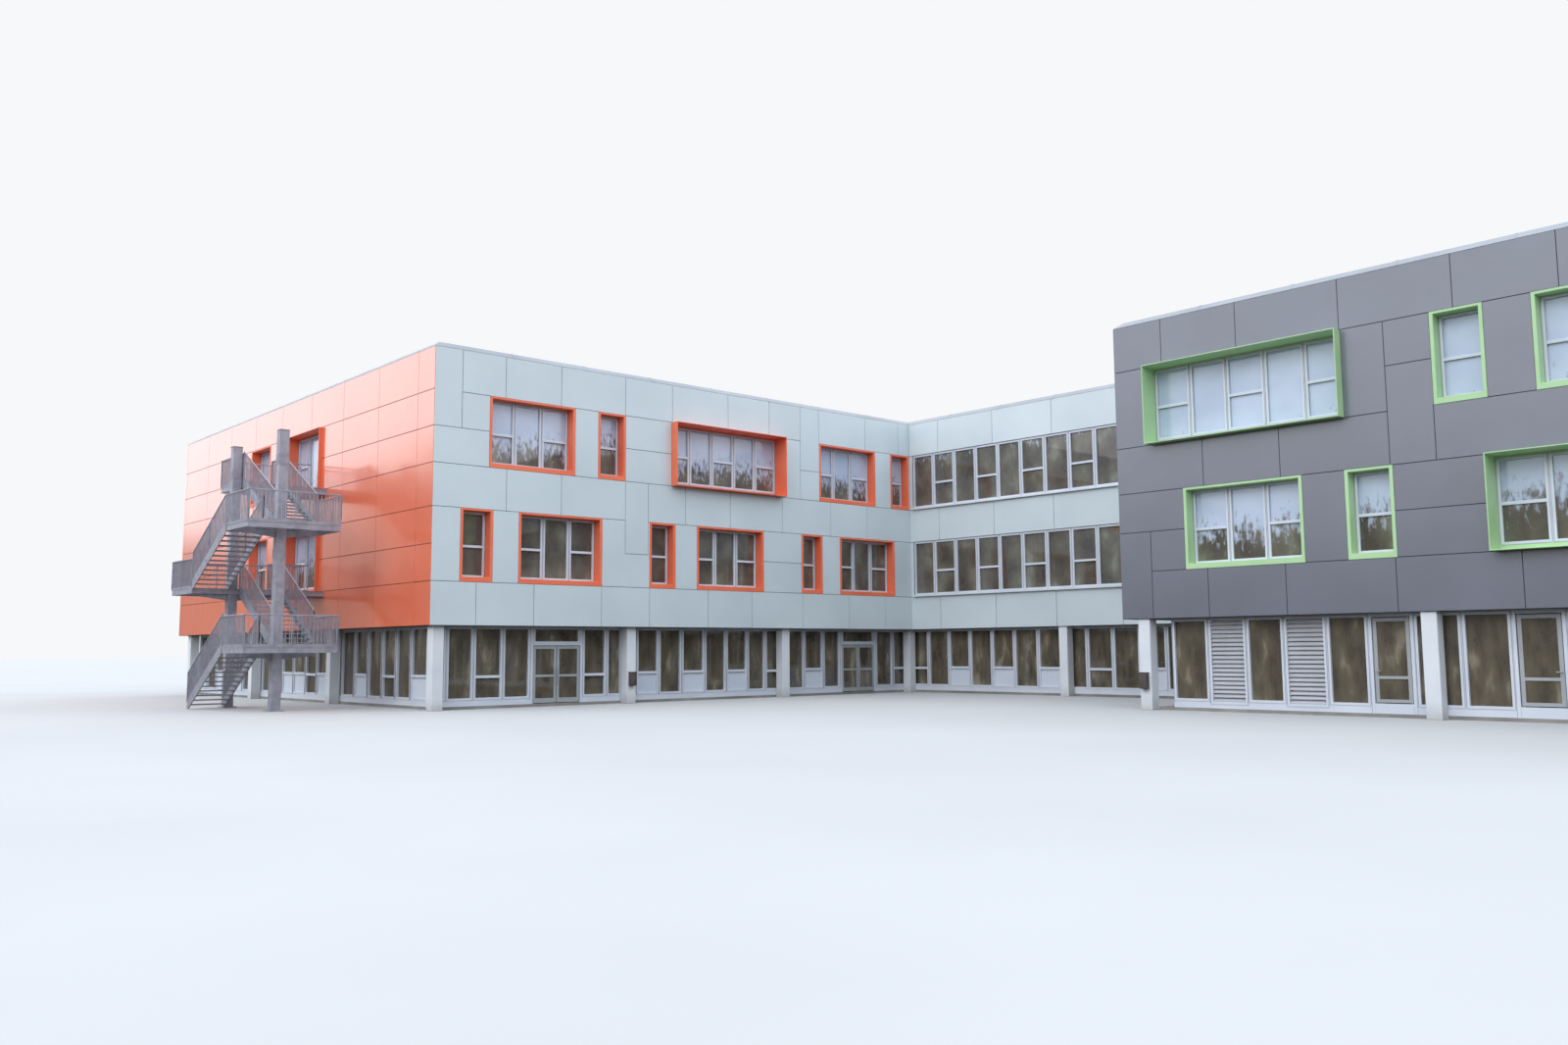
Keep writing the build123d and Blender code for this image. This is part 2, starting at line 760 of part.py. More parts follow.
def treads(f):
    rise = (f.head_z - f.foot_z) / risers
    going = (f.head_y - f.foot_y) / (risers - 1)
    forward = 1 if going > 0 else -1
    t = stringer_thickness
    steps = []
    for n in range(1, risers):
        y_a = f.foot_y + (n - 1) * going - forward * (tread_nosing if n > 1 else 0)
        y_b = f.foot_y + n * going
        z = f.foot_z + n * rise
        steps.append(box(f.x0 + t, f.x1 - t, min(y_a, y_b), max(y_a, y_b), z - tread_thickness, z))
    return steps


def rail_panel(start, end, z_start, z_end):
    """Flat guard rail over a line on the deck: toe plate, tube and uprights in one plane."""
    length = end - start
    top0, top1 = z_start + rail_height, z_end + rail_height
    sketch = Polygon(
        (0, z_start), (length, z_end), (length, z_end + toe_height), (0, z_start + toe_height), align=None)
    sketch += Polygon(
        (0, top0 - rail_tube), (length, top1 - rail_tube), (length, top1), (0, top0), align=None)
    slope = (z_end - z_start) / length
    count = max(2, round(length / rail_bar_pitch))
    for n in range(count + 1):
        u0 = n * (length - rail_bar) / count
        u1 = u0 + rail_bar
        foot, head = z_start + slope * u0, top0 + slope * u0
        sketch += Polygon((u0, foot + toe_height / 2), (u1, foot + toe_height / 2),
                          (u1, head - rail_tube / 2), (u0, head - rail_tube / 2), align=None)
    return sketch


def rail_along_x(x0, x1, y, z):
    """Guard rail along X from y to y + its thickness."""
    plane = Plane(origin=(x0, y + rail_depth, 0), x_dir=(1, 0, 0), z_dir=(0, -1, 0))
    return extrude(plane * rail_panel(x0, x1, z, z), rail_depth, dir=(0, -1, 0))


def rail_along_y(y0, y1, x, z0, z1):
    """Guard rail along Y from x to x + its thickness, rising from z0 to z1."""
    plane = Plane(origin=(x, y0, 0), x_dir=(0, 1, 0), z_dir=(1, 0, 0))
    return extrude(plane * rail_panel(y0, y1, z0, z1), rail_depth, dir=(1, 0, 0))


def landing_rails():
    rails = []
    gap = movement_joint
    t = rail_depth
    at_wall = x_orange - stair_door_projection - landing_rail_gap
    for z in (half_level_1, half_level_2):
        rails.append(rail_along_x(stair_left + t + gap, stair_right - t - gap, near_landing_start, z))
        rails.append(rail_along_y(near_landing_start, near_edge - gap, stair_left, z, z))
        rails.append(rail_along_y(near_landing_start, near_edge - gap, stair_right - t, z, z))
    for z, left in ((first_floor_level, stair_left), (second_floor_level, top_landing_left)):
        rails.append(rail_along_y(far_landing_start + gap, far_landing_end, left, z, z))
        rails.append(rail_along_x(left + t + gap, at_wall, far_landing_end - t, z))
        rails.append(rail_along_y(far_landing_start + gap, bridge_start + t, stair_right - t, z, z))
        rails.append(rail_along_x(stair_right + gap, at_wall, bridge_start, z))
    return rails


def flight_rails(f):
    """A guard rail on each side of a flight, standing on its side plates."""
    rise = (f.head_z - f.foot_z) / risers
    low_y, high_y = min(f.foot_y, f.head_y), max(f.foot_y, f.head_y)
    foot, head = f.foot_z + rise + stringer_above, f.head_z + stringer_above
    z0, z1 = (foot, head) if f.foot_y < f.head_y else (head, foot)
    inset = (stringer_thickness - rail_depth) / 2
    return [
        rail_along_y(low_y, high_y, x, z0, z1)
        for x in (f.x0 + inset, f.x1 - stringer_thickness + inset)
    ]


def column_bins():
    """Litter bins, one on the front of a column of the pale wing and one on the dark wing's corner column."""
    face = column_width / 2
    half = bin_width / 2
    x, y = bay_x, 0
    corner_x, corner_y = dark_first_bay * bay_x, grid_y(-link_bays_y)
    levels = (bin_foot, bin_foot + bin_height)
    return [
        box(x - half, x + half, y - face - bin_depth, y - face, *levels),
        box(corner_x - face - bin_depth, corner_x - face, corner_y - half, corner_y + half, *levels),
    ]


def build_frame():
    write("ground_slab", *floor_plates(ground_floor_level, ground_floor_level, at_columns))
    write("first_floor_slab", *floor_plates(first_floor_level, slab_thickness, inside_walls))
    write("second_floor_slab", *floor_plates(second_floor_level, slab_thickness, inside_walls))
    write("roof_slab", *floor_plates(wall_top - parapet_height, slab_thickness, inside_walls))
    write("outer_columns", *outer_columns())
    write("inner_columns", *inner_columns())
    write("edge_beams", *edge_beams())
    write("roof_coping", *[coping(f) for f in facades])


def build_walls():
    write("pale_front_wall", wall(facade["pale_front"]))
    write("orange_end_wall", wall(facade["orange_end"]))
    write("link_front_wall", link_wall())
    write("dark_return_wall", wall(facade["dark_return"]))
    write("dark_front_wall", wall(facade["dark_front"]))
    write("rear_walls", *[wall(facade[name], movement_joint) for name in ("dark_end", "back", "pale_rear")])


def build_windows():
    groups = {
        "pale_wing": ("pale_front", "orange_end", "pale_rear", "back"),
        "dark_wing": ("dark_front", "dark_end"),
    }
    glass = []
    for wing, names in groups.items():
        surrounds, frames = [], []
        for name in names:
            some_surrounds, some_frames, some_glass = glazed_windows(facade[name])
            surrounds += some_surrounds
            frames += some_frames
            glass += some_glass
        write(f"{wing}_window_surrounds", *surrounds)
        write(f"{wing}_window_frames", *frames)
    frames, ribbon_glass, sills = ribbon_windows()
    write("link_window_frames", *frames)
    write("link_window_sills", *sills)
    write("window_glass", *glass, *ribbon_glass)


def build_ground_glazing():
    groups = {
        "pale_ground": ("pale_front", "orange_end", "pale_rear"),
        "link_ground": ("link_front", "back"),
        "dark_ground": ("dark_return", "dark_front", "dark_end"),
    }
    panels = {PANEL: [], LOUVRE: []}
    sheets, leaves = [], []
    for group, names in groups.items():
        frames = []
        for name in names:
            f = facade[name]
            for run in runs_of(ground_panes[name]):
                frame, sheet, run_panels = glazing_run(f, run)
                frames.append(frame)
                sheets.append(sheet)
                for kind, panel in run_panels:
                    panels[kind].append(panel)
            for door in ground_panes[name]:
                if door.kind in DOORS:
                    posts, lights = door_frame(f, door)
                    frames += posts
                    sheets += lights
                    leaves += door_leaves(f, door)
        write(f"{group}_glazing_frames", *frames)
    write("ground_floor_glass", *sheets)
    write("ground_floor_panels", *panels[PANEL])
    write("ground_floor_louvres", *panels[LOUVRE])
    for (frame, panes), name in zip(leaves, leaf_names):
        write(f"{name}_leaf", frame)
        write(f"{name}_glass", *panes)


leaf_names = (
    "main_door_left", "main_door_right", "side_door_left", "side_door_right",
    "first_terrace_door", "second_terrace_door",
)


def build_stair():
    write("stair_posts", stair_post(near_post_y), stair_post(far_post_y))
    near = (stair_left, stair_right, near_landing_start, near_edge)
    far = (far_landing_start, far_landing_end)
    bridge = (stair_right, x_orange, bridge_start, far_landing_end)
    write("stair_landings",
          landing(*near, half_level_1, near_post_y),
          landing(stair_left, stair_right, *far, first_floor_level, far_post_y),
          landing(*bridge, first_floor_level),
          landing(*near, half_level_2, near_post_y),
          landing(top_landing_left, stair_right, *far, second_floor_level, far_post_y),
          landing(*bridge, second_floor_level))
    write("stair_stringers", *[plate for f in flights for plate in stringers(f)])
    write("stair_treads", *[step for f in flights for step in treads(f)])
    write("stair_landing_rails", *landing_rails())
    write("stair_flight_rails", *[rail for f in flights for rail in flight_rails(f)])


def build_bins():
    write("column_bins", *column_bins())


build_frame()
build_walls()
build_windows()
build_ground_glazing()
build_stair()
build_bins()
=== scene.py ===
import math
import random
import bmesh
import bpy
from mathutils import Matrix, Vector


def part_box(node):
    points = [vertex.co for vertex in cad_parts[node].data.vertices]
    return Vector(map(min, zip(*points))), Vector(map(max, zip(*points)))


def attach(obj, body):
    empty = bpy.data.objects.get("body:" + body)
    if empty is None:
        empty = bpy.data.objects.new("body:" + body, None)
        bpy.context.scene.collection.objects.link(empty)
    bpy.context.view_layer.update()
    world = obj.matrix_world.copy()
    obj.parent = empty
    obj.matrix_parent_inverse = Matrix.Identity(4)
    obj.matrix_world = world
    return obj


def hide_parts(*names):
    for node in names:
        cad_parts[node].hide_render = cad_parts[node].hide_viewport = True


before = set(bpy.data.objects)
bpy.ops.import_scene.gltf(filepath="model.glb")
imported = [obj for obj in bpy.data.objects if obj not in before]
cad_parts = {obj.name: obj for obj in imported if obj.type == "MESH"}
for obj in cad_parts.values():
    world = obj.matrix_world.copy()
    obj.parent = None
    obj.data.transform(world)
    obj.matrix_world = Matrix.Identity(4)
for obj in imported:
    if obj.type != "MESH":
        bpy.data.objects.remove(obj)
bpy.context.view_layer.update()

# Concrete frame: ground slab, floors, roof slab, inner columns and the beams over the glazing.
# The real ones are cast in place against boards and left grey, or painted inside the rooms.
# They carry the walls and show through the glass and under the cladding.

merge_reach = 0.0002
flat_angle = 0.01
sharp_angle = 0.5


def paint(red, green, blue):
    """A colour as it shows, from 0 to 255, in the linear values that a shader takes."""
    return tuple(((c / 255 + 0.055) / 1.055) ** 2.4 if c > 10 else c / 3295 for c in (red, green, blue))


def noise(tree, places, scale, detail):
    """A cloudy pattern over some places."""
    made = tree.nodes.new("ShaderNodeTexNoise")
    made.inputs["Scale"].default_value = scale
    made.inputs["Detail"].default_value = detail
    tree.links.new(places, made.inputs["Vector"])
    return made.outputs["Fac"]


def calculate(tree, operation, *values):
    """One sum on numbers and on what other nodes give."""
    made = tree.nodes.new("ShaderNodeMath")
    made.operation = operation
    for value, socket in zip(values, made.inputs):
        if isinstance(value, float):
            socket.default_value = value
        else:
            tree.links.new(value, socket)
    return made.outputs["Value"]


def shader_of(material):
    """The node that shades a finish."""
    return material.node_tree.nodes["Principled BSDF"]


def finish(name, dark, light, scale, roughness, relief=None, metallic=0.0, tone=None):
    """A surface whose colour wanders between two, with relief as (scale, depth in metres, strength)."""
    material = bpy.data.materials.new(name)
    material.use_nodes = True
    tree = material.node_tree
    nodes, links, shader = tree.nodes, tree.links, shader_of(material)
    place = nodes.new("ShaderNodeTexCoord").outputs["Object"]
    ramp = nodes.new("ShaderNodeValToRGB")
    for stop, position, shade in zip(ramp.color_ramp.elements, (0.3, 0.7), (dark, light)):
        stop.position = position
        stop.color = (*shade, 1)
    links.new(noise(tree, place, scale, 5), ramp.inputs["Fac"])
    colour = ramp.outputs["Color"]
    if tone:
        each = nodes.new("ShaderNodeAttribute")
        each.attribute_name = "tone"
        change = nodes.new("ShaderNodeHueSaturation")
        brightness = nodes.new("ShaderNodeMapRange")
        brightness.inputs["To Min"].default_value = 1 - tone
        brightness.inputs["To Max"].default_value = 1 + tone
        links.new(each.outputs["Fac"], brightness.inputs["Value"])
        links.new(brightness.outputs["Result"], change.inputs["Value"])
        links.new(colour, change.inputs["Color"])
        colour = change.outputs["Color"]
    links.new(colour, shader.inputs["Base Color"])
    shader.inputs["Roughness"].default_value = roughness
    shader.inputs["Metallic"].default_value = metallic
    if relief:
        bump = nodes.new("ShaderNodeBump")
        bump.inputs["Distance"].default_value = relief[1]
        bump.inputs["Strength"].default_value = relief[2]
        links.new(noise(tree, place, relief[0], 6), bump.inputs["Height"])
        links.new(bump.outputs["Normal"], shader.inputs["Normal"])
    return material


def copy_of(node):
    """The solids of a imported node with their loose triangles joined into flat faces."""
    shape = bmesh.new()
    shape.from_mesh(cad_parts[node].data)
    bmesh.ops.remove_doubles(shape, verts=shape.verts, dist=merge_reach)
    bmesh.ops.dissolve_limit(shape, angle_limit=flat_angle, verts=shape.verts, edges=shape.edges)
    return shape


def islands(shape):
    """Groups of joined vertices, one for each separate solid."""
    seen = set()
    for first in shape.verts:
        if first in seen:
            continue
        seen.add(first)
        group, open_ends = [first], [first]
        while open_ends:
            for edge in open_ends.pop().link_edges:
                for vert in edge.verts:
                    if vert not in seen:
                        seen.add(vert)
                        group.append(vert)
                        open_ends.append(vert)
        yield group


def extent(verts):
    """Lowest and highest corner of some vertices."""
    return Vector(map(min, *(v.co for v in verts))), Vector(map(max, *(v.co for v in verts)))


def soften(shape, width, segments=1):
    """A small radius on the sharp edges."""
    sharp = [e for e in shape.edges if len(e.link_faces) == 2 and e.calc_face_angle() > sharp_angle]
    bmesh.ops.bevel(shape, geom=sharp, offset=width, segments=segments, profile=0.5, affect="EDGES",
                    material=-1, clamp_overlap=True)


def place(shape, name, material, slot, *replaced, body="building", smooth=0.35):
    """Makes a piece of a shape, on the body it moves with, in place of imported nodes."""
    mesh = bpy.data.meshes.new(name)
    shape.to_mesh(mesh)
    shape.free()
    mesh.shade_smooth()
    mesh.set_sharp_from_angle(angle=smooth)
    mesh.materials.append(material)
    made = bpy.data.objects.new(name, mesh)
    bpy.context.scene.collection.objects.link(made)
    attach(made, body)
    if replaced:
        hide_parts(*replaced)
    return made


def add_to(whole, part):
    """Moves the faces of one shape into another."""
    mesh = bpy.data.meshes.new("part")
    part.to_mesh(mesh)
    part.free()
    whole.from_mesh(mesh)
    bpy.data.meshes.remove(mesh)


def dress(material, *nodes):
    """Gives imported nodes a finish."""
    for node in nodes:
        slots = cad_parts[node].data.materials
        slots.clear()
        slots.append(material)


concrete = finish("cast_concrete", paint(120, 118, 114), paint(156, 154, 148), 1.6, 0.85, (26, 0.004, 0.4))
dress(concrete, "ground_slab", "first_floor_slab", "second_floor_slab", "roof_slab", "inner_columns",
      "edge_beams")

# Outer columns: square concrete columns in smooth white render that stand clear of the glazing.
# Their arrises are slightly rounded and their feet are a little soiled by splashing rain.

splash_height = 0.22
splash_strength = 0.45
arris_radius = 0.006
splash_ragged_scale = 7
render_coat = finish("column_render", paint(214, 220, 226), paint(226, 230, 234), 2.2, 0.7,
                     (60, 0.0015, 0.4))


def soil(material, height, shade):
    """Splashed dirt that fades upwards from the ground."""
    tree, shader = material.node_tree, shader_of(material)
    nodes, links = tree.nodes, tree.links
    clean = shader.inputs["Base Color"].links[0].from_socket
    place = nodes.new("ShaderNodeTexCoord").outputs["Object"]
    split = nodes.new("ShaderNodeSeparateXYZ")
    links.new(place, split.inputs["Vector"])
    ragged = noise(tree, place, splash_ragged_scale, 2)
    wander = calculate(tree, "MULTIPLY_ADD", ragged, -height, split.outputs["Z"])
    fade = nodes.new("ShaderNodeMapRange")
    fade.inputs["From Min"].default_value = -height / 2
    fade.inputs["From Max"].default_value = height / 2
    fade.inputs["To Min"].default_value = splash_strength
    fade.inputs["To Max"].default_value = 0
    links.new(wander, fade.inputs["Value"])
    blend = nodes.new("ShaderNodeMix")
    blend.data_type = "RGBA"
    blend.inputs["B"].default_value = (*shade, 1)
    links.new(fade.outputs["Result"], blend.inputs["Factor"])
    links.new(clean, blend.inputs["A"])
    links.new(blend.outputs["Result"], shader.inputs["Base Color"])


soil(render_coat, splash_height, paint(150, 146, 138))
columns = copy_of("outer_columns")
soften(columns, arris_radius, 2)
place(columns, "rendered_columns", render_coat, "column_render", "outer_columns")

# Cladding: flat coated panels on a dark backing wall, hung with open joints, in bands that
# follow the heads and sills of the windows. The joints of each wall are set out as the real
# ones lie, in metres from its left end as seen from outside.

FRONT, BACK = Vector((0, -1, 0)), Vector((0, 1, 0))
LEFT, RIGHT = Vector((-1, 0, 0)), Vector((1, 0, 0))
UP = Vector((0, 0, 1))
panel_thickness = 0.012
joint_width = 0.009
panel_edge = 0.0015
past_corner = -0.1
same_place = 0.0005
on_joint = 0.0008


def solids_of(node):
    """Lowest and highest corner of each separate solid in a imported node."""
    shape = copy_of(node)
    boxes = [extent(group) for group in islands(shape)]
    shape.free()
    return boxes


class Wall:
    """Outer face of a wall: u runs along it to the right, v up, and w outwards."""

    room_before, room_past = 0.32, 0.8
    room_behind, room_in_front = 0.8, 0.3

    def __init__(self, node, out, start_turn):
        self.out, self.right = out, UP.cross(out)
        shape = copy_of(node)
        facing = [(f.calc_center_median().dot(out), f) for f in shape.faces if f.normal.dot(out) > 0.99]
        reach = max(depth for depth, _ in facing)
        points = [v.co.copy() for depth, f in facing if depth > reach - 0.001 for v in f.verts]
        shape.free()
        along = [p.dot(self.right) for p in points]
        self.origin = self.right * min(along) + out * reach
        self.length = max(along) - min(along)
        self.start = -start_turn * panel_thickness
        turn = Matrix((self.right, UP, out)).transposed().to_4x4()
        self.to_world = Matrix.Translation(self.origin) @ turn

    def local(self, low, high):
        """A box in world places as (u0, u1, v0, v1, w0, w1)."""
        a, b = (self.to_world.inverted() @ p for p in (low, high))
        return (*sorted((a.x, b.x)), *sorted((a.y, b.y)), *sorted((a.z, b.z)))

    def holds(self, low, high):
        """True for a box that lies in this wall or just behind it."""
        u0, u1, _, _, w0, w1 = self.local(low, high)
        along = u0 > -self.room_before and u1 < self.length + self.room_past
        across = -self.room_behind < (w0 + w1) / 2 < self.room_in_front
        return along and across and w1 - w0 < u1 - u0


walls = {
    "pale_front": Wall("pale_front_wall", FRONT, 1),
    "link_front": Wall("link_front_wall", LEFT, -1),
    "dark_return": Wall("dark_return_wall", BACK, -1),
    "dark_front": Wall("dark_front_wall", LEFT, 1),
    "dark_end": Wall("rear_walls", FRONT, 1),
    "back": Wall("rear_walls", RIGHT, 1),
    "pale_rear": Wall("rear_walls", BACK, 1),
    "orange_end": Wall("orange_end_wall", LEFT, 1),
}

surround_boxes = solids_of("pale_wing_window_surrounds") + solids_of("dark_wing_window_surrounds")
ribbon_boxes = solids_of("link_window_frames") + solids_of("link_window_sills")
foot, top = (corner.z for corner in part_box("pale_front_wall"))
first_sill, second_sill = sorted({round(low.z, 3) for low, high in surround_boxes})
first_head, second_head = sorted({round(high.z, 3) for low, high in surround_boxes})
first_middle = (first_sill + first_head) / 2
second_middle = (second_sill + second_head) / 2


def banded(top_band, middle_band, bottom_band):
    """Upright joints in the bands above, between and below the rows of windows."""
    joints = [(u, second_head, top) for u in top_band]
    joints += [(u, first_head, second_sill) for u in middle_band]
    return joints + [(u, foot, first_sill) for u in bottom_band]


def rows(wall, *breaks):
    """Level joints at heads and sills, broken where a taller panel passes, as (level, from, to)."""
    joints = []
    for level in (first_sill, first_head, second_sill, second_head):
        ends = [past_corner]
        for broken, u0, u1 in breaks:
            if broken == level:
                ends += [u0, u1]
        ends.append(wall.length)
        joints += [(level, a, b) for a, b in zip(ends[::2], ends[1::2])]
    return joints


def raise_faces(shape, faces, height):
    """Draws flat faces out to a thickness."""
    raised = bmesh.ops.extrude_face_region(shape, geom=faces)["geom"]
    corners = [g for g in raised if isinstance(g, bmesh.types.BMVert)]
    bmesh.ops.translate(shape, vec=(0, 0, height), verts=corners)


def panels(name, material, slot, uprights, levels):
    """Panels of one wall between its joints, windows and ends."""
    wall = walls[name]
    shape = bmesh.new()
    corners = ((wall.start, foot), (wall.length, foot), (wall.length, top), (wall.start, top))
    shape.faces.new([shape.verts.new((u, v, 0)) for u, v in corners])
    holes = [wall.local(*box)[:4] for box in surround_boxes + ribbon_boxes if wall.holds(*box)]
    cuts_u = {u for u, _, _ in uprights} | {u for _, a, b in levels for u in (a, b)}
    cuts_u |= {u for hole in holes for u in hole[:2]}
    cuts_v = {v for _, a, b in uprights for v in (a, b)} | {v for v, _, _ in levels}
    cuts_v |= {v for hole in holes for v in hole[2:]}
    for at, normal in [((u, 0, 0), (1, 0, 0)) for u in cuts_u] + [((0, v, 0), (0, 1, 0)) for v in cuts_v]:
        bmesh.ops.bisect_plane(shape, geom=shape.verts[:] + shape.edges[:] + shape.faces[:],
                               dist=same_place, plane_co=at, plane_no=normal)
    inside = []
    for face in shape.faces:
        c = face.calc_center_median()
        if any(u0 < c.x < u1 and v0 < c.y < v1 for u0, u1, v0, v1 in holes):
            inside.append(face)
    bmesh.ops.delete(shape, geom=inside, context="FACES")

    def is_joint(edge):
        a, b = (v.co for v in edge.verts)
        c = (a + b) / 2
        if abs(a.x - b.x) < same_place:
            return any(abs(c.x - u) < on_joint and low < c.y < high for u, low, high in uprights)
        return any(abs(c.y - v) < on_joint and low < c.x < high for v, low, high in levels)

    bmesh.ops.split_edges(shape, edges=[e for e in shape.edges if is_joint(e)])
    bmesh.ops.dissolve_limit(shape, angle_limit=flat_angle, verts=shape.verts, edges=shape.edges)
    rims = bmesh.ops.inset_region(shape, faces=shape.faces[:], thickness=joint_width / 2,
                                  use_boundary=True, use_even_offset=True)["faces"]
    bmesh.ops.delete(shape, geom=rims, context="FACES")
    raise_faces(shape, shape.faces[:], panel_thickness)
    bmesh.ops.recalc_face_normals(shape, faces=shape.faces[:])
    soften(shape, panel_edge)
    tones = shape.verts.layers.float.new("tone")
    chance = random.Random(name)
    for group in islands(shape):
        tone = chance.random()
        for vert in group:
            vert[tones] = tone
    shape.transform(wall.to_world)
    place(shape, name + "_panels", material, slot)


def coated(name, dark, light, roughness, tone, gloss):
    """Factory coat on flat board: even colour, a shade apart from panel to panel."""
    material = finish(name, dark, light, 0.8, roughness, (3, 0.006, 0.1), tone=tone)
    for quality, value in zip(("Weight", "Roughness", "IOR"), gloss):
        shader_of(material).inputs["Coat " + quality].default_value = value
    return material


backing = finish("dark_backing", paint(44, 47, 52), paint(58, 60, 66), 4, 0.8, (30, 0.003, 0.4))
dress(backing, "pale_front_wall", "link_front_wall", "dark_return_wall", "dark_front_wall", "rear_walls",
      "orange_end_wall")
pale_coat = coated("pale_panel_coat", paint(198, 210, 215), paint(207, 219, 223), 0.36, 0.03,
                   (0.25, 0.18, 1.5))
dark_coat = coated("dark_panel_coat", paint(90, 94, 107), paint(99, 103, 118), 0.42, 0.035,
                   (0.9, 0.22, 1.9))
orange_coat = coated("orange_panel_coat", paint(238, 108, 62), paint(246, 120, 74), 0.3, 0.02,
                     (1, 0.12, 2.1))

pale_uprights = banded(
    (1.31, 2.43, 3.82, 4.91, 6.30, 7.39, 8.80, 10.21, 11.29),
    (1.35, 2.45, 3.83, 4.35, 5.23, 6.35, 7.74, 9.14, 10.25),
    (0.81, 1.92, 3.32, 4.39, 5.79, 6.91, 8.31, 9.66, 10.80))
pale_uprights += [(0.49, second_middle, top), (8.26, second_sill, top)]
pale_uprights += [(3.83, first_middle, first_head), (4.35, first_middle, first_head)]
pale_levels = rows(walls["pale_front"], (second_head, past_corner, 0.49), (second_head, 8.26, 8.80),
                   (first_head, 3.83, 4.35))
pale_levels += [(second_middle, past_corner, 1.05), (second_middle, 3.80, 4.95)]
pale_levels += [(second_middle, 8.26, 8.85), (first_middle, 3.83, 4.35), (first_middle, 7.20, 8.30)]
panels("pale_front", pale_coat, "pale_cladding", pale_uprights, pale_levels)

link_start, link_pitch = 0.88, 1.54
link_joints = [link_start + link_pitch * number for number in range(5)]
link_uprights = banded(link_joints, link_joints, link_joints)
panels("link_front", pale_coat, "pale_cladding", link_uprights, rows(walls["link_front"]))

dark_uprights = banded(
    (0.84, 2.08, 3.61, 5.10, 6.33, 7.86, 9.55, 10.95, 12.15),
    (1.47, 2.67, 4.20, 4.79, 6.47, 8.0, 9.5, 10.9, 12.4),
    (0.54, 1.48, 2.68, 4.20, 5.72, 7.2, 8.7, 10.15, 11.6))
dark_uprights += [(0.54, first_sill, first_middle), (4.20, second_sill, second_head)]
dark_levels = rows(walls["dark_front"], (second_sill, 4.20, 4.79), (first_sill, past_corner, 0.54))
dark_levels += [(second_middle, 4.20, 4.85), (first_middle, past_corner, 1.15), (first_middle, 4.15, 5.45)]
panels("dark_front", dark_coat, "dark_cladding", dark_uprights, dark_levels)

orange_start, orange_pitch = 0.6105, 1.5675
orange_joints = [orange_start + orange_pitch * number for number in range(9)]
orange_wall = walls["orange_end"]
orange_uprights = [(orange_wall.length - u, foot, top) for u in orange_joints]
orange_levels = rows(orange_wall)
orange_levels += [(level, past_corner, orange_wall.length) for level in (first_middle, second_middle)]
panels("orange_end", orange_coat, "orange_cladding", orange_uprights, orange_levels)

plain_width = 1.4


def even_panels(name, material, slot):
    """A wall that faces away, with upright joints at one pitch from foot to top."""
    wall = walls[name]
    count = round(wall.length / plain_width)
    uprights = [(wall.length * n / count, foot, top) for n in range(1, count)]
    panels(name, material, slot, uprights, rows(wall))


even_panels("dark_return", dark_coat, "dark_cladding")
even_panels("dark_end", dark_coat, "dark_cladding")
even_panels("back", pale_coat, "pale_cladding")
even_panels("pale_rear", pale_coat, "pale_cladding")

# Roof coping: folded light grey sheet over the parapet, with an outer face that leans back.
# It is fixed in lengths of about three metres in real size, with a cover strip over each joint.

coping_length = 1.5
strip_width = 0.05
strip_height = 0.003
fold_radius = 0.003
run_margin = 0.01
sheet_grey = finish("folded_sheet", paint(144, 148, 154), paint(158, 162, 168), 1.2, 0.5,
                    (5, 0.004, 0.15), 0.15)
coping = copy_of("roof_coping")
soften(coping, fold_radius)
place(coping, "parapet_coping", sheet_grey, "coping_metal", "roof_coping")

strips = bmesh.new()
for low, high in solids_of("roof_coping"):
    run = high - low
    along = 0 if run.x > run.y else 1
    count = max(1, round(run[along] / coping_length))
    normal = Vector((1, 0, 0)) if along == 0 else Vector((0, 1, 0))
    for number in range(1, count):
        middle = low[along] + run[along] * number / count
        piece = copy_of("roof_coping")
        for side in (-1, 1):
            edge = normal * (middle + side * strip_width / 2)
            bmesh.ops.bisect_plane(piece, geom=piece.verts[:] + piece.edges[:] + piece.faces[:],
                                   dist=0.0001, plane_co=edge, plane_no=normal * side, clear_outer=True)
        far = [v for v in piece.verts
               if not all(low[a] - run_margin < v.co[a] < high[a] + run_margin for a in range(3))]
        bmesh.ops.delete(piece, geom=far, context="VERTS")
        piece.normal_update()
        bmesh.ops.recalc_face_normals(piece, faces=piece.faces[:])
        bmesh.ops.solidify(piece, geom=piece.faces[:], thickness=-strip_height)
        add_to(strips, piece)
place(strips, "coping_cover_strips", sheet_grey, "coping_metal")

# Roof covering: grey sheet membrane in lapped strips on the slab, turned up against the parapet.
# Each strip is welded down over the edge of its neighbour, so the lap stands up by one thickness.

strip_pitch = 0.75
lap = 0.04
membrane_thickness = 0.004
upstand_thickness = 0.006
wall_depth = 0.24
membrane = finish("roof_membrane", paint(126, 128, 130), paint(146, 148, 149), 1.1, 0.85,
                  (45, 0.002, 0.4))


def block(shape, low, high):
    """A cuboid between two corners."""
    low, high = Vector(low), Vector(high)
    size = high - low
    at = Matrix.Translation((low + high) / 2) @ Matrix.Diagonal((*size, 1))
    return bmesh.ops.create_cube(shape, size=1, matrix=at)["verts"]


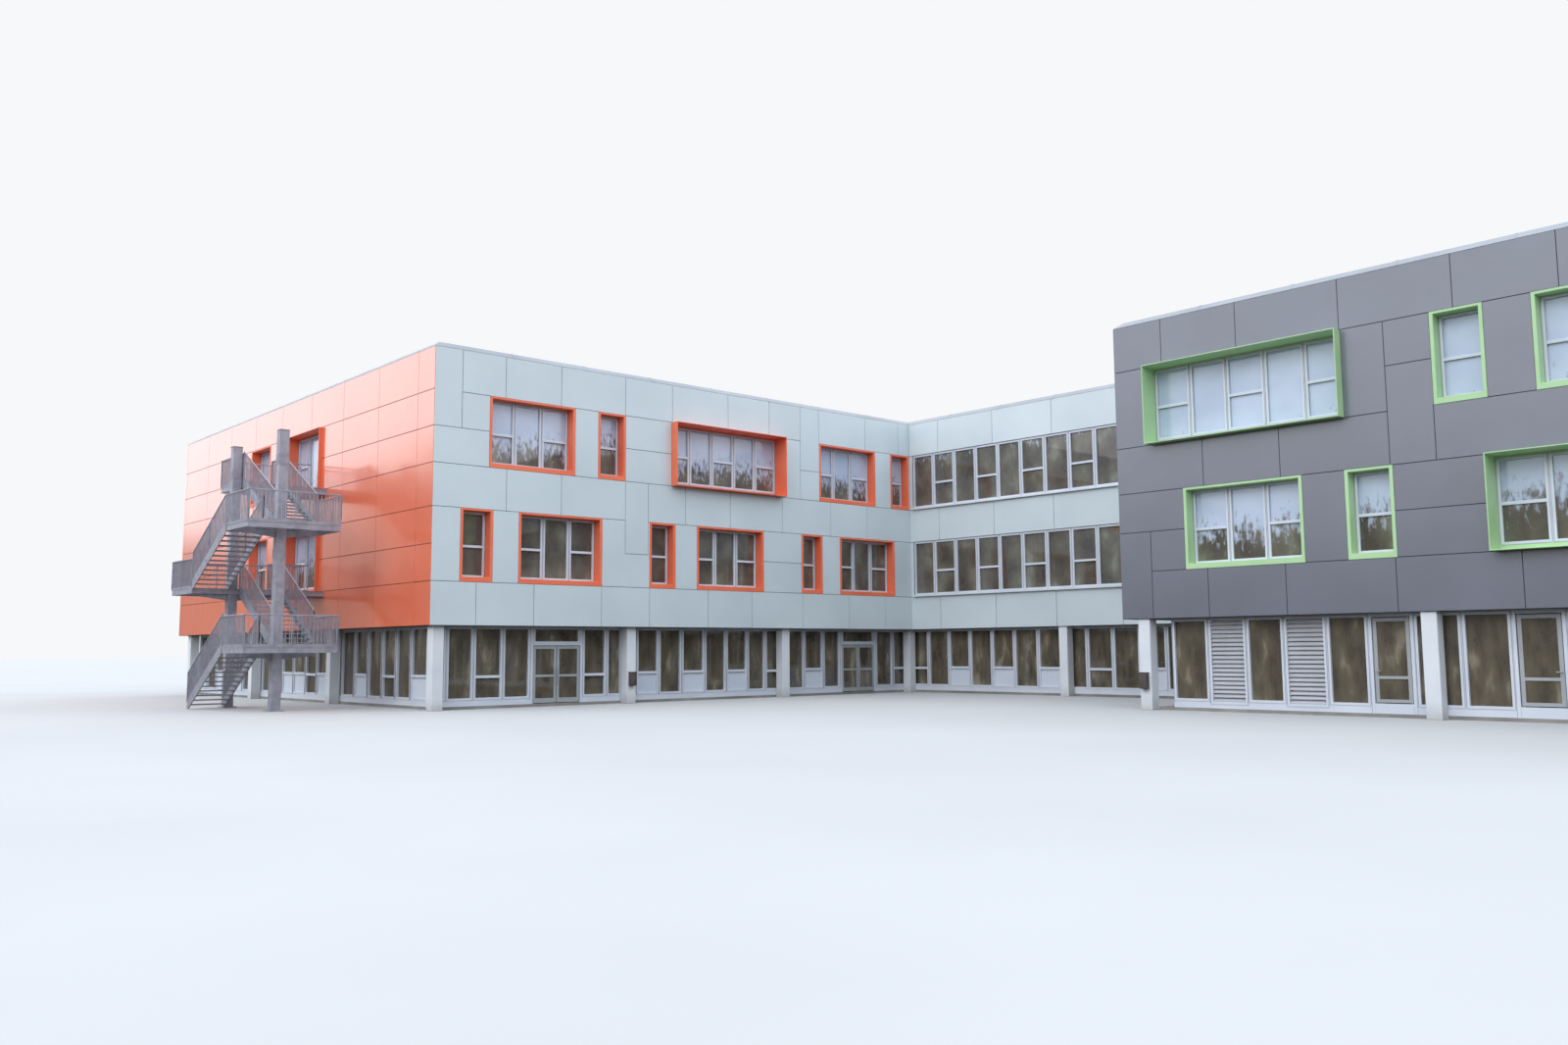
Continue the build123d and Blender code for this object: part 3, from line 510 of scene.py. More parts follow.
roofing = bmesh.new()
for low, high in solids_of("roof_slab"):
    count = max(1, round((high.y - low.y) / strip_pitch))
    width = (high.y - low.y) / count
    for number in range(count):
        y = low.y + number * width
        start = (low.x, max(y - lap, low.y), high.z)
        for vert in block(roofing, start, (high.x, y + width, high.z + membrane_thickness)):
            if number and vert.co.y < y + width / 2:
                vert.co.z += membrane_thickness
roof_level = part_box("roof_slab")[1].z
corner_turns = (1, -1, -1, 1, 1, 1, 1, 1, 1)
for wall, start_turn, end_turn in zip(walls.values(), corner_turns, corner_turns[1:]):
    upstand = bmesh.new()
    block(upstand, (start_turn * wall_depth, roof_level, -wall_depth - upstand_thickness),
          (wall.length - end_turn * wall_depth, top, -wall_depth))
    upstand.transform(wall.to_world)
    add_to(roofing, upstand)
bmesh.ops.recalc_face_normals(roofing, faces=roofing.faces[:])
place(roofing, "roof_membrane_strips", membrane, "concrete")

# Window surrounds: welded sheet linings in the cladding, orange on the pale wing and green on
# the dark wing. The long ones are deep boxes that stand out from the wall.

for wing, coat_name, slot, dark, light in (
        ("pale", "orange_powder_coat", "orange_lining", paint(238, 112, 76), paint(246, 126, 90)),
        ("dark", "green_powder_coat", "green_lining", paint(172, 210, 158), paint(184, 220, 170))):
    powder_coat = finish(coat_name, dark, light, 1.5, 0.4, (90, 0.0006, 0.2))
    linings = copy_of(wing + "_wing_window_surrounds")
    soften(linings, fold_radius)
    place(linings, wing + "_wing_linings", powder_coat, slot, wing + "_wing_window_surrounds")

# Window frames: coated aluminium profiles in light grey. Each pane has its own sash, with a dark
# groove between neighbours, and a black gasket holds the glass.

sash_width = 0.036
sash_proud = 0.006
sash_bedding = 0.002
sash_radius = 0.0015
transom_reach = 0.1
gasket_width = 0.005
gasket_depth = 0.004
frame_coat = finish("frame_coat", paint(204, 211, 223), paint(216, 222, 232), 2, 0.42,
                    (120, 0.0004, 0.15))
rubber = finish("gasket_rubber", paint(24, 24, 26), paint(34, 34, 37), 40, 0.6, (150, 0.0005, 0.4))


def lights_of(node, wall):
    """Openings in the front of a node's frames on a wall: ((u0, u1, v0, v1), the front's w)."""
    shape = copy_of(node)
    shape.transform(wall.to_world.inverted())
    found = []
    for group in islands(shape):
        if not wall.holds(*(wall.to_world @ corner for corner in extent(group))):
            continue
        front = max(v.co.z for v in group)
        rims = [e for v in group if abs(v.co.z - front) < same_place for e in v.link_edges]
        rims = [e for e in set(rims) if all(abs(v.co.z - front) < same_place for v in e.verts)
                and len(e.link_faces) == 2 and e.calc_face_angle() > sharp_angle]
        loops = []
        while rims:
            loop, grown = [rims.pop()], True
            ends = set(loop[0].verts)
            while grown:
                grown = [e for e in rims if ends & set(e.verts)]
                rims = [e for e in rims if e not in grown]
                for e in grown:
                    ends |= set(e.verts)
            us, vs = [v.co.x for v in ends], [v.co.y for v in ends]
            loops.append((min(us), max(us), min(vs), max(vs)))
        loops.sort(key=lambda r: ((r[1] - r[0]) * (r[3] - r[2]), r))
        found += [(loop, front) for loop in loops[:-1]]
    shape.free()
    return found


def ring(shape, u0, u1, v0, v1, w0, w1, width):
    """Flat frame round a rectangle, of a width outwards if positive and inwards if negative."""
    grow = max(width, 0)
    a, b, c, d = u0 - grow, u1 + grow, v0 - grow, v1 + grow
    face = shape.faces.new([shape.verts.new((u, v, w0)) for u, v in ((a, c), (b, c), (b, d), (a, d))])
    sides = bmesh.ops.inset_region(shape, faces=[face], thickness=abs(width), use_boundary=True,
                                   use_even_offset=True)["faces"]
    bmesh.ops.delete(shape, geom=[face], context="FACES")
    raise_faces(shape, sides, w1 - w0)


def sashes_of(lights):
    """Groups of lights: those one over the other in a pane belong to one sash."""
    panes = {}
    for light, front in lights:
        column = (round(light[0], 2), round(light[1], 2), round(front, 2))
        panes.setdefault(column, []).append((light, front))
    joined = []
    for group in panes.values():
        group.sort(key=lambda g: g[0][2])
        current = [group[0]]
        for item in group[1:]:
            if item[0][2] - current[-1][0][3] < transom_reach:
                current.append(item)
            else:
                joined.append(current)
                current = [item]
        joined.append(current)
    return joined


def sashes(name, nodes, glass_depth):
    """Raised sash, transom and gasket of every pane in the frames of some nodes."""
    metal, seals = bmesh.new(), bmesh.new()
    for wall in walls.values():
        profile, seal = bmesh.new(), bmesh.new()
        for group in sashes_of([light for node in nodes for light in lights_of(node, wall)]):
            front = group[0][1]
            u0, u1 = group[0][0][:2]
            back, face = front - sash_bedding, front + sash_proud
            ring(profile, u0, u1, group[0][0][2], group[-1][0][3], back, face, sash_width)
            for (lower, _), (upper, _) in zip(group, group[1:]):
                block(profile, (u0, lower[3], back), (u1, upper[2], face))
            for light, _ in group:
                ring(seal, *light, front - glass_depth, front - glass_depth + gasket_depth, -gasket_width)
        soften(profile, sash_radius)
        for part, whole in ((profile, metal), (seal, seals)):
            bmesh.ops.recalc_face_normals(part, faces=part.faces[:])
            part.transform(wall.to_world)
            add_to(whole, part)
    place(metal, name + "_sashes", frame_coat, "frame_grey")
    place(seals, name + "_gaskets", rubber, "frame_grey")


window_glass_depth = 0.033
dress(frame_coat, "pale_wing_window_frames", "dark_wing_window_frames", "link_window_frames")
sashes("pale_wing", ["pale_wing_window_frames"], window_glass_depth)
sashes("dark_wing", ["dark_wing_window_frames"], window_glass_depth)
sashes("link_wing", ["link_window_frames"], window_glass_depth)

# Link wing sills: folded pale sheet that runs under each row of windows and throws the rain clear.
# The front edge is folded down over the cladding, with a rounded fold.

sill_sheet = finish("sill_sheet", paint(206, 214, 220), paint(218, 226, 230), 2, 0.35, (8, 0.003, 0.15))
sill_radius = 0.004
sills = copy_of("link_window_sills")
soften(sills, sill_radius, 2)
place(sills, "ribbon_sills", sill_sheet, "sill_metal", "link_window_sills")

# Glass: clear double glazing that closes each frame. Its colour holds a painted reflection of a pale dome
# above a dark band with a ragged edge: nearly all pale in the top row, and only brown streaks on the
# ground floor.

# Share of painted sky reflection in the glass colour on each wall, for the lower and the upper row.
painted_sky_share = {"pale_front": (-0.3, 0.62), "link_front": (-0.4, -0.12), "dark_front": (0.5, 1.3),
             "orange_end": (0.45, 0.8)}
plain_painted_sky_share = (0.4, 0.8)
painted_sky_spread = 0.12
edge_swing = 0.6
edge_raggedness = 1.3
edge_contrast = 3.2


def glass_with_painted_reflection(name, reflection_streaks, *painted_band_colours):
    """Glass with a painted reflection in its colour: a dark band under painted pale sky that rises and
    falls along the building.
    """
    material = bpy.data.materials.new(name)
    material.use_nodes = True
    tree, shader = material.node_tree, shader_of(material)
    nodes, links = tree.nodes, tree.links
    place = nodes.new("ShaderNodeTexCoord")

    def streaks(scale, stretch, detail):
        mapping = nodes.new("ShaderNodeMapping")
        mapping.inputs["Scale"].default_value = stretch
        links.new(place.outputs["Object"], mapping.inputs["Vector"])
        return noise(tree, mapping.outputs["Vector"], scale, detail)

    def ramp(factor, *stops):
        made = nodes.new("ShaderNodeValToRGB")
        elements = made.color_ramp.elements
        while len(elements) < len(stops):
            elements.new(0.5)
        for element, (position, colour) in zip(elements, stops):
            element.position = position
            element.color = (*colour, 1)
        links.new(factor, made.inputs["Fac"])
        return made.outputs["Color"]

    def attribute(name):
        made = nodes.new("ShaderNodeAttribute")
        made.attribute_name = name
        return made.outputs["Fac"]

    # Painted reflection: a streaked dark band and pale sky colours, mixed by each sheet's height and sky
    # share against a ragged edge.
    band = ramp(streaks(*reflection_streaks), *zip((0.34, 0.46, 0.58, 0.68), painted_band_colours))
    sky = ramp(streaks(0.7, (1, 1, 1.6), 3), (0.3, paint(176, 192, 218)), (0.7, paint(206, 219, 242)))
    swing = calculate(tree, "MULTIPLY", streaks(0.45, (1, 1, 0), 2), edge_swing)
    edge = calculate(tree, "MULTIPLY_ADD", streaks(11, (1.6, 1.6, 0.7), 6), edge_raggedness, swing)
    risen = calculate(tree, "ADD", attribute("height"), attribute("sky"))
    above = calculate(tree, "SUBTRACT", risen, edge)
    painted_sky_amount = calculate(tree, "MULTIPLY_ADD", above, edge_contrast, 0.3)
    painted_sky_amount.node.use_clamp = True
    mixed = nodes.new("ShaderNodeMix")
    mixed.data_type = "RGBA"
    mixed.clamp_factor = True
    links.new(painted_sky_amount, mixed.inputs["Factor"])
    links.new(band, mixed.inputs["A"])
    links.new(sky, mixed.inputs["B"])
    links.new(mixed.outputs["Result"], shader.inputs["Base Color"])
    shader.inputs["Roughness"].default_value = 0.02
    shader.inputs["IOR"].default_value = 1.7
    shader.inputs["Alpha"].default_value = 0.86
    return material


def glaze(node, body="building"):
    """Sheets of glass, each with its share of painted sky reflection and the height on it as attributes.
    """
    shape = copy_of(node)
    painted_sky_shares, heights = shape.verts.layers.float.new("sky"), shape.verts.layers.float.new("height")
    chance = random.Random(node)
    for group in islands(shape):
        low, high = extent(group)
        name = next((n for n, wall in walls.items() if wall.holds(low, high)), "back")
        # Ground floor sheets get no painted sky, only the painted dark band.
        share = 0
        if low.z > foot:
            share = painted_sky_share.get(name, plain_painted_sky_share)[low.z > second_sill - 0.1]
            share += chance.uniform(-painted_sky_spread, painted_sky_spread)
        for vert in group:
            vert[painted_sky_shares] = share
            vert[heights] = (vert.co.z - low.z) / (high.z - low.z) if low.z > foot else 0
    material = upper_reflection_glass if node == "window_glass" else ground_glass_painted_reflection
    place(shape, node + "_sheets", material, "glass", node, body=body)


door_names = ("main_door_left", "main_door_right", "side_door_left", "side_door_right",
              "first_terrace_door", "second_terrace_door")
# Painted reflection colours: the stops of the streaked dark band, mixed with painted pale sky in each
# sheet.
upper_reflection_glass = glass_with_painted_reflection("upper_glass_painted_reflection", (1.6, (1.4, 1.4, 1), 5), paint(84, 78, 72), paint(98, 93, 84),
                     paint(114, 110, 98), paint(136, 138, 124))
ground_glass_painted_reflection = glass_with_painted_reflection("ground_glass_painted_reflection", (3.2, (1.5, 1.5, 0.55), 9), paint(82, 75, 65),
                            paint(95, 88, 75), paint(109, 101, 85), paint(146, 138, 120))
glaze("window_glass")
glaze("ground_floor_glass")
for name in door_names:
    glaze(name + "_glass", name)

# Ground floor glazing: storey-high aluminium frames behind the columns, with a deep foot rail.
# Some panes have a low transom, some a flat white panel below, and some are louvres.

ground_nodes = ["pale_ground_glazing_frames", "link_ground_glazing_frames", "dark_ground_glazing_frames"]
ground_glass_depth = 0.048
dress(frame_coat, *ground_nodes)
sashes("ground_floor", ground_nodes, ground_glass_depth)
white_board = finish("white_panel", paint(200, 209, 222), paint(211, 219, 230), 1.5, 0.42,
                     (50, 0.0006, 0.2))
board_radius = 0.002
boards = copy_of("ground_floor_panels")
soften(boards, board_radius)
place(boards, "sill_panels", white_board, "white_panel", "ground_floor_panels")

slat_pitch = 0.062
slat_rise = 0.042
slat_lip = 0.012
slat_plate = 0.003
slat_radius = 0.0008
louvre_proud = 0.01
louvre_stile = 0.004
louvre_coat = finish("louvre_coat", paint(174, 176, 183), paint(185, 187, 194), 3, 0.42,
                     (80, 0.0005, 0.2))
slats = bmesh.new()
for low, high in solids_of("ground_floor_louvres"):
    wall = next(w for w in walls.values() if w.holds(low, high))
    u0, u1, v0, v1, w0, w1 = wall.local(low, high)
    front = w1 + louvre_proud
    louvre = bmesh.new()
    count = round((v1 - v0) / slat_pitch)
    for number in range(count):
        v = v0 + number * (v1 - v0) / count + slat_lip
        for vert in block(louvre, (u0, v, w0 + 0.002), (u1, v + slat_plate, front)):
            vert.co.y += slat_rise * (front - vert.co.z) / (front - w0)
        block(louvre, (u0, v - slat_lip, front - slat_plate), (u1, v + slat_plate, front))
    soften(louvre, slat_radius)
    for u in (u0, u1):
        block(louvre, (u - louvre_stile, v0, w0), (u + louvre_stile, v1, front + 0.002))
    louvre.transform(wall.to_world)
    add_to(slats, louvre)
place(slats, "louvre_slats", louvre_coat, "louvre_metal", "ground_floor_louvres")

# Doors: two pairs of glazed aluminium leaves with pull bars, and two single terrace doors with
# levers. Each leaf swings on a floor pivot and a head pivot.

leaf_grey = finish("leaf_coat", paint(156, 161, 164), paint(168, 173, 176), 2, 0.4,
                   (120, 0.0004, 0.15))
leaf_thickness = 0.034
glass_thickness = 0.012
leaf_radius = 0.0015
lock_inset = 0.025
rosette_radius = 0.013
rosette_thickness = 0.004
cylinder_drop = 0.055
cylinder_radius = 0.006
cylinder_proud = 0.003
lever_level = 0.625
pull_lock_level = 0.33


def rod(shape, start, end, radius, sides=10):
    """A round bar between two points."""
    start, end = Vector(start), Vector(end)
    run = end - start
    at = Matrix.Translation((start + end) / 2) @ run.to_track_quat("Z", "Y").to_matrix().to_4x4()
    bmesh.ops.create_cone(shape, cap_ends=True, segments=sides, radius1=radius, radius2=radius,
                          depth=run.length, matrix=at)


for name in door_names:
    leaf = copy_of(name + "_leaf")
    soften(leaf, leaf_radius)
    place(leaf, name + "_profile", leaf_grey, "frame_grey", name + "_leaf", body=name)
    wall = walls["dark_front" if "terrace" in name else "pale_front"]
    seal = bmesh.new()
    for low, high in solids_of(name + "_glass"):
        u0, u1, v0, v1, w0, w1 = wall.local(low, high)
        ring(seal, u0, u1, v0, v1, w1, w1 + gasket_depth, -gasket_width)
        ring(seal, u0, u1, v0, v1, w0 - gasket_depth, w0, -gasket_width)
    bmesh.ops.recalc_face_normals(seal, faces=seal.faces[:])
    seal.transform(wall.to_world)
    place(seal, name + "_gasket", rubber, "frame_grey", body=name)
    hung_left = name in ("main_door_left", "side_door_left", "second_terrace_door")
    u0, u1, v0, v1, w0, w1 = wall.local(*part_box(name + "_leaf"))
    lock_u = u1 - lock_inset if hung_left else u0 + lock_inset
    face = wall.local(*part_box(name + "_glass"))[5] + (leaf_thickness - glass_thickness) / 2
    hardware = bmesh.new()
    lock_v = lever_level if "terrace" in name else pull_lock_level
    cylinder_v = lock_v - cylinder_drop
    plate_face = face + rosette_thickness
    for v in (lock_v, cylinder_v):
        rod(hardware, (lock_u, v, face), (lock_u, v, plate_face), rosette_radius, 20)
    rod(hardware, (lock_u, cylinder_v, plate_face), (lock_u, cylinder_v, plate_face + cylinder_proud),
        cylinder_radius, 16)
    bmesh.ops.recalc_face_normals(hardware, faces=hardware.faces[:])
    hardware.transform(wall.to_world)
    place(hardware, name + "_hardware", leaf_grey, "frame_grey", body=name, smooth=0.7)

# Outside stair: galvanised steel on two box posts with bolted splices and foot plates. The decks
# and treads are open gratings, and the guard rails have close upright flats under a round rail.

steel = finish("galvanised_steel", paint(146, 147, 158), paint(170, 170, 181), 9, 0.5,
               (60, 0.0008, 0.25), 0.3)
washer_thickness = 0.002
head_height = 0.006


def bolt(shape, at, out, radius=0.008):
    """A hexagon head on a washer."""
    at, out = Vector(at), Vector(out)
    washer = at + out * washer_thickness
    rod(shape, at, washer, radius * 1.5, 10)
    rod(shape, washer, washer + out * head_height, radius, 6)


post_splices = (2.62, 4.25)
splice_reach = 0.09
splice_plate = 0.008
splice_margin = 0.012
splice_bolts = (-0.06, -0.02, 0.02, 0.06)
splice_bolt_inset = 0.035
splice_bolt_radius = 0.006
foot_plate = 0.05
foot_plate_thickness = 0.014
cap_overhang = 0.006
cap_seat, cap_rise = 0.008, 0.004
post_radius = 0.004
posts = copy_of("stair_posts")
soften(posts, post_radius, 2)
place(posts, "stair_box_posts", steel, "galvanised_steel", "stair_posts")
fittings = bmesh.new()
for low, high in solids_of("stair_posts"):
    block(fittings, (low.x - foot_plate, low.y - foot_plate, 0),
          (high.x + foot_plate, high.y + foot_plate, foot_plate_thickness))
    block(fittings, (low.x - cap_overhang, low.y - cap_overhang, high.z - cap_seat),
          (high.x + cap_overhang, high.y + cap_overhang, high.z + cap_rise))
    for x in (low.x - foot_plate / 2, high.x + foot_plate / 2):
        for y in (low.y - foot_plate / 2, high.y + foot_plate / 2):
            bolt(fittings, (x, y, foot_plate_thickness), UP)
    for level in post_splices:
        for axis, side, out in ((0, low, LEFT), (0, high, RIGHT), (1, low, FRONT), (1, high, BACK)):
            across = 1 - axis
            seat = side[axis]
            face = seat + out[axis] * splice_plate
            near, far = low.copy(), high.copy()
            near[axis], far[axis] = min(seat, face), max(seat, face)
            near[across], far[across] = low[across] + splice_margin, high[across] - splice_margin
            near.z, far.z = level - splice_reach, level + splice_reach
            block(fittings, near, far)
            for offset in (low[across] + splice_bolt_inset, high[across] - splice_bolt_inset):
                for rise in splice_bolts:
                    at = Vector((face, offset, level + rise))
                    bolt(fittings, at if axis == 0 else at.yxz, out, splice_bolt_radius)
place(fittings, "post_fittings", steel, "galvanised_steel")

rim_plate = 0.006
rim_lip = 0.008
rim_flange = 0.032
bracket_root, bracket_tip = 0.11, 0.05
bracket_flange = 0.05
bracket_end = 0.2
joist_half = 0.02
joist_lift = 0.02
bearing_pitch = 0.03
cross_pitch = 0.06
bearing_depth = 0.014
bar_thickness = 0.0035


def grating(shape, low, high, along):
    """Bearing bars along one axis with thinner cross bars between two corners."""
    across = 1 - along
    count = max(2, round((high[across] - low[across]) / bearing_pitch))
    for number in range(count + 1):
        middle = low[across] + (high[across] - low[across]) * number / count
        a, b = low.copy(), high.copy()
        a[across], b[across] = middle - bar_thickness / 2, middle + bar_thickness / 2
        block(shape, a, b)
    count = max(2, round((high[along] - low[along]) / cross_pitch))
    for number in range(count + 1):
        middle = low[along] + (high[along] - low[along]) * number / count
        a, b = low.copy(), high.copy()
        a[along], b[along] = middle - bar_thickness / 2, middle + bar_thickness / 2
        a.z = high.z - bearing_depth / 3
        block(shape, a, b)


def rim(shape, low, high, width, z0, z1):
    """Four plates that run round just inside a rectangle."""
    for x in ((low.x, low.x + width), (high.x - width, high.x)):
        block(shape, (x[0], low.y, z0), (x[1], high.y, z1))
    for y in ((low.y, low.y + width), (high.y - width, high.y)):
        block(shape, (low.x + width, y[0], z0), (high.x - width, y[1], z1))


landings = bmesh.new()
for low, high in solids_of("stair_landings"):
    lip = Vector((rim_lip, rim_lip, 0))
    web = Vector((rim_plate, rim_plate, 0))
    inner_low, inner_high = low + lip + web, high - lip - web
    rim(landings, low + lip, high - lip, rim_plate, low.z, high.z)
    for z in (low.z, high.z - rim_plate):
        rim(landings, low, high, rim_lip, z, z + rim_plate)
    for x in ((inner_low.x, inner_low.x + rim_flange), (inner_high.x - rim_flange, inner_high.x)):
        block(landings, (x[0], inner_low.y, low.z), (x[1], inner_high.y, low.z + rim_plate))
    for y in ((inner_low.y, inner_low.y + rim_flange), (inner_high.y - rim_flange, inner_high.y)):
        block(landings, (inner_low.x, y[0], low.z), (inner_high.x, y[1], low.z + rim_plate))
    for share in (1 / 3, 2 / 3):
        x = low.x + (high.x - low.x) * share
        block(landings, (x - joist_half, inner_low.y, low.z + joist_lift),
              (x + joist_half, inner_high.y, high.z - bearing_depth))
    grating(landings, Vector((inner_low.x, inner_low.y, high.z - bearing_depth)), inner_high, 1)
place(landings, "grating_landings", steel, "galvanised_steel", "stair_landings")

brackets = bmesh.new()
for low, high in solids_of("stair_landings"):
    for post_low, post_high in solids_of("stair_posts"):
        y = (post_low.y + post_high.y) / 2
        if not low.y < y < high.y:
            continue
        for root, tip in ((post_low.x, low.x + bracket_end), (post_high.x, high.x - bracket_end)):
            if abs(tip - root) < bracket_end:
                continue
            for half, thickness in ((rim_plate / 2, 0), (bracket_flange / 2, rim_plate)):
                lower = (min(root, tip), y - half, low.z - bracket_root)
                for vert in block(brackets, lower, (max(root, tip), y + half, low.z)):
                    depth = bracket_root if abs(vert.co.x - root) < 0.001 else bracket_tip
                    if vert.co.z < low.z - bracket_root / 2:
                        vert.co.z = low.z - depth
                    elif thickness:
                        vert.co.z = low.z - depth + thickness
place(brackets, "landing_brackets", steel, "galvanised_steel")

tread_lug = 0.01
tread_bolt_lift = 0.002
tread_bolt_radius = 0.005
stringer_face = 0.0155
treads = bmesh.new()
for low, high in solids_of("stair_treads"):
    grating(treads, Vector((low.x, low.y, high.z - bearing_depth)), high, 0)
    for y in ((low.y, low.y + rim_plate), (high.y - rim_plate, high.y)):
        block(treads, (low.x, y[0], low.z), (high.x, y[1], high.z))
    for x, out in ((low.x, LEFT), (high.x, RIGHT)):
        inner = x - out.x * rim_plate
        block(treads, (min(x, inner), low.y, low.z - tread_lug), (max(x, inner), high.y, high.z))
        for share in (0.25, 0.75):
            at = (x + out.x * stringer_face, low.y + (high.y - low.y) * share, low.z + tread_bolt_lift)
            bolt(treads, at, out, tread_bolt_radius)
place(treads, "grating_treads", steel, "galvanised_steel", "stair_treads")

stringer_radius = 0.002
stringers = copy_of("stair_stringers")
soften(stringers, stringer_radius)
place(stringers, "stair_side_plates", steel, "galvanised_steel", "stair_stringers")

rail_flat_pitch = 0.065
rail_flat = (0.006, 0.016)
rail_tube_radius = 0.009
rail_post_pitch = 0.75
rail_post = (0.012, 0.026)
toe_height = 0.045
toe_thickness = 0.006
rail_under = 0.022
under_flat = (0.018, 0.005)


def sloped(shape, low, high, along, rise):
    """A cuboid whose far end along an axis lies higher or lower than its near end."""
    for vert in block(shape, low, high):
        vert.co.z += rise * (vert.co[along] - low[along]) / (high[along] - low[along])


rails = bmesh.new()
shape = copy_of("stair_landing_rails")
add_to(shape, copy_of("stair_flight_rails"))
for group in islands(shape):
    low, high = extent(group)
    along = 0 if high.x - low.x > high.y - low.y else 1
    across = 1 - along
    ends = [[v.co.z for v in group if abs(v.co[along] - end[along]) < 0.001] for end in (low, high)]
    (foot_a, head_a), (foot_b, head_b) = ((min(zs), max(zs)) for zs in ends)
    rise = foot_b - foot_a
    length = high[along] - low[along]
    middle = (low[across] + high[across]) / 2

    def bar(u0, u1, width, z0, z1, lift=0.0):
        a, b = Vector((0, 0, z0)), Vector((0, 0, z1))
        a[along], b[along] = low[along] + u0, low[along] + u1
        a[across], b[across] = middle - width / 2, middle + width / 2
        sloped(rails, a, b, along, lift)

    bar(0, length, toe_thickness, foot_a, foot_a + toe_height, rise)
    bar(0, length, under_flat[0], head_a - rail_under, head_a - rail_under + under_flat[1], rise)
    count = max(2, round(length / rail_flat_pitch))
    posts_at = max(1, round(length / rail_post_pitch))
    for number in range(count + 1):
        share = number / count
        u = share * (length - rail_flat[0])
        z = foot_a + rise * share
        bar(u, u + rail_flat[0], rail_flat[1], z + toe_height / 2, z + head_a - foot_a - rail_under)
    for number in range(posts_at + 1):
        share = number / posts_at
        u = share * (length - rail_post[0])
        z = foot_a + rise * share
        bar(u, u + rail_post[0], rail_post[1], z, z + head_a - foot_a - rail_tube_radius)
    start, end = Vector((0, 0, head_a - rail_tube_radius)), Vector((0, 0, head_b - rail_tube_radius))
    start[along], end[along] = low[along], high[along]
    start[across] = end[across] = middle
    rod(rails, start, end, rail_tube_radius, 12)
shape.free()
place(rails, "guard_rails", steel, "galvanised_steel", "stair_landing_rails", "stair_flight_rails")

# Litter bins: small sheet metal bins screwed to two columns, with a hood over the mouth. Their
# corners are well rounded, and hood and mouth are plain folded sheet in the same dark paint.

bin_coat = finish("bin_coat", paint(84, 76, 74), paint(102, 93, 90), 5, 0.5, (70, 0.0006, 0.3), 0.3)
bin_radius = 0.012
bins = copy_of("column_bins")
soften(bins, bin_radius, 3)
place(bins, "litter_bins", bin_coat, "bin_metal", "column_bins", smooth=0.6)
bin_trim = bmesh.new()
hood_side = 0.004
hood_reach = 0.012
mouth_drop = 0.045
mouth_inset = 0.012
mouth_proud = 0.003
mouth_height = 0.03
pale_front_line = -0.2
for low, high in solids_of("column_bins"):
    out = FRONT if high.y > pale_front_line else LEFT
    side = UP.cross(out)
    reach = max(low.dot(out), high.dot(out))
    back = min(low.dot(out), high.dot(out))
    middle = (low + high) / 2
    half = abs((high - low).dot(side)) / 2

    def on_bin(s0, s1, o0, o1, z0, z1):
        a = side * (middle.dot(side) + s0) + out * o0 + UP * z0
        b = side * (middle.dot(side) + s1) + out * o1 + UP * z1
        block(bin_trim, Vector(map(min, a, b)), Vector(map(max, a, b)))

    on_bin(-half - hood_side, half + hood_side, back, reach + hood_reach,
           high.z - hood_side, high.z + hood_side)
    on_bin(-half + mouth_inset, half - mouth_inset, reach, reach + mouth_proud,
           high.z - mouth_drop - mouth_height, high.z - mouth_drop)
place(bin_trim, "bin_hoods", bin_coat, "bin_metal")

# Floor, light and camera: a plain pale studio round the model, seen from eye height at its front
# corner. Glossy finishes mirror a pale dome over a low dark band, and the camera sees neither.

studio_reach = 400
edge_roughness = 0.09
near_band_rise = 0.08
floor_shape = bmesh.new()
bmesh.ops.create_grid(floor_shape, x_segments=1, y_segments=1, size=studio_reach)
floor_mesh = bpy.data.meshes.new("studio_floor")
floor_shape.to_mesh(floor_mesh)
floor_shape.free()
studio_floor = bpy.data.objects.new("studio_floor", floor_mesh)
bpy.context.scene.collection.objects.link(studio_floor)
floor_paint = finish("studio_floor", paint(182, 182, 181), paint(189, 189, 188), 0.2, 0.9)
floor_mesh.materials.append(floor_paint)

floor_nodes, floor_links = floor_paint.node_tree.nodes, floor_paint.node_tree.links
floor_rays = floor_nodes.new("ShaderNodeLightPath")
dull_floor = floor_nodes.new("ShaderNodeBsdfDiffuse")
dull_floor.inputs["Color"].default_value = (*paint(96, 91, 85), 1)
floor_choice = floor_nodes.new("ShaderNodeMixShader")
floor_links.new(floor_rays.outputs["Is Camera Ray"], floor_choice.inputs["Fac"])
floor_links.new(dull_floor.outputs["BSDF"], floor_choice.inputs[1])
floor_links.new(shader_of(floor_paint).outputs["BSDF"], floor_choice.inputs[2])
floor_links.new(floor_choice.outputs["Shader"], floor_nodes["Material Output"].inputs["Surface"])

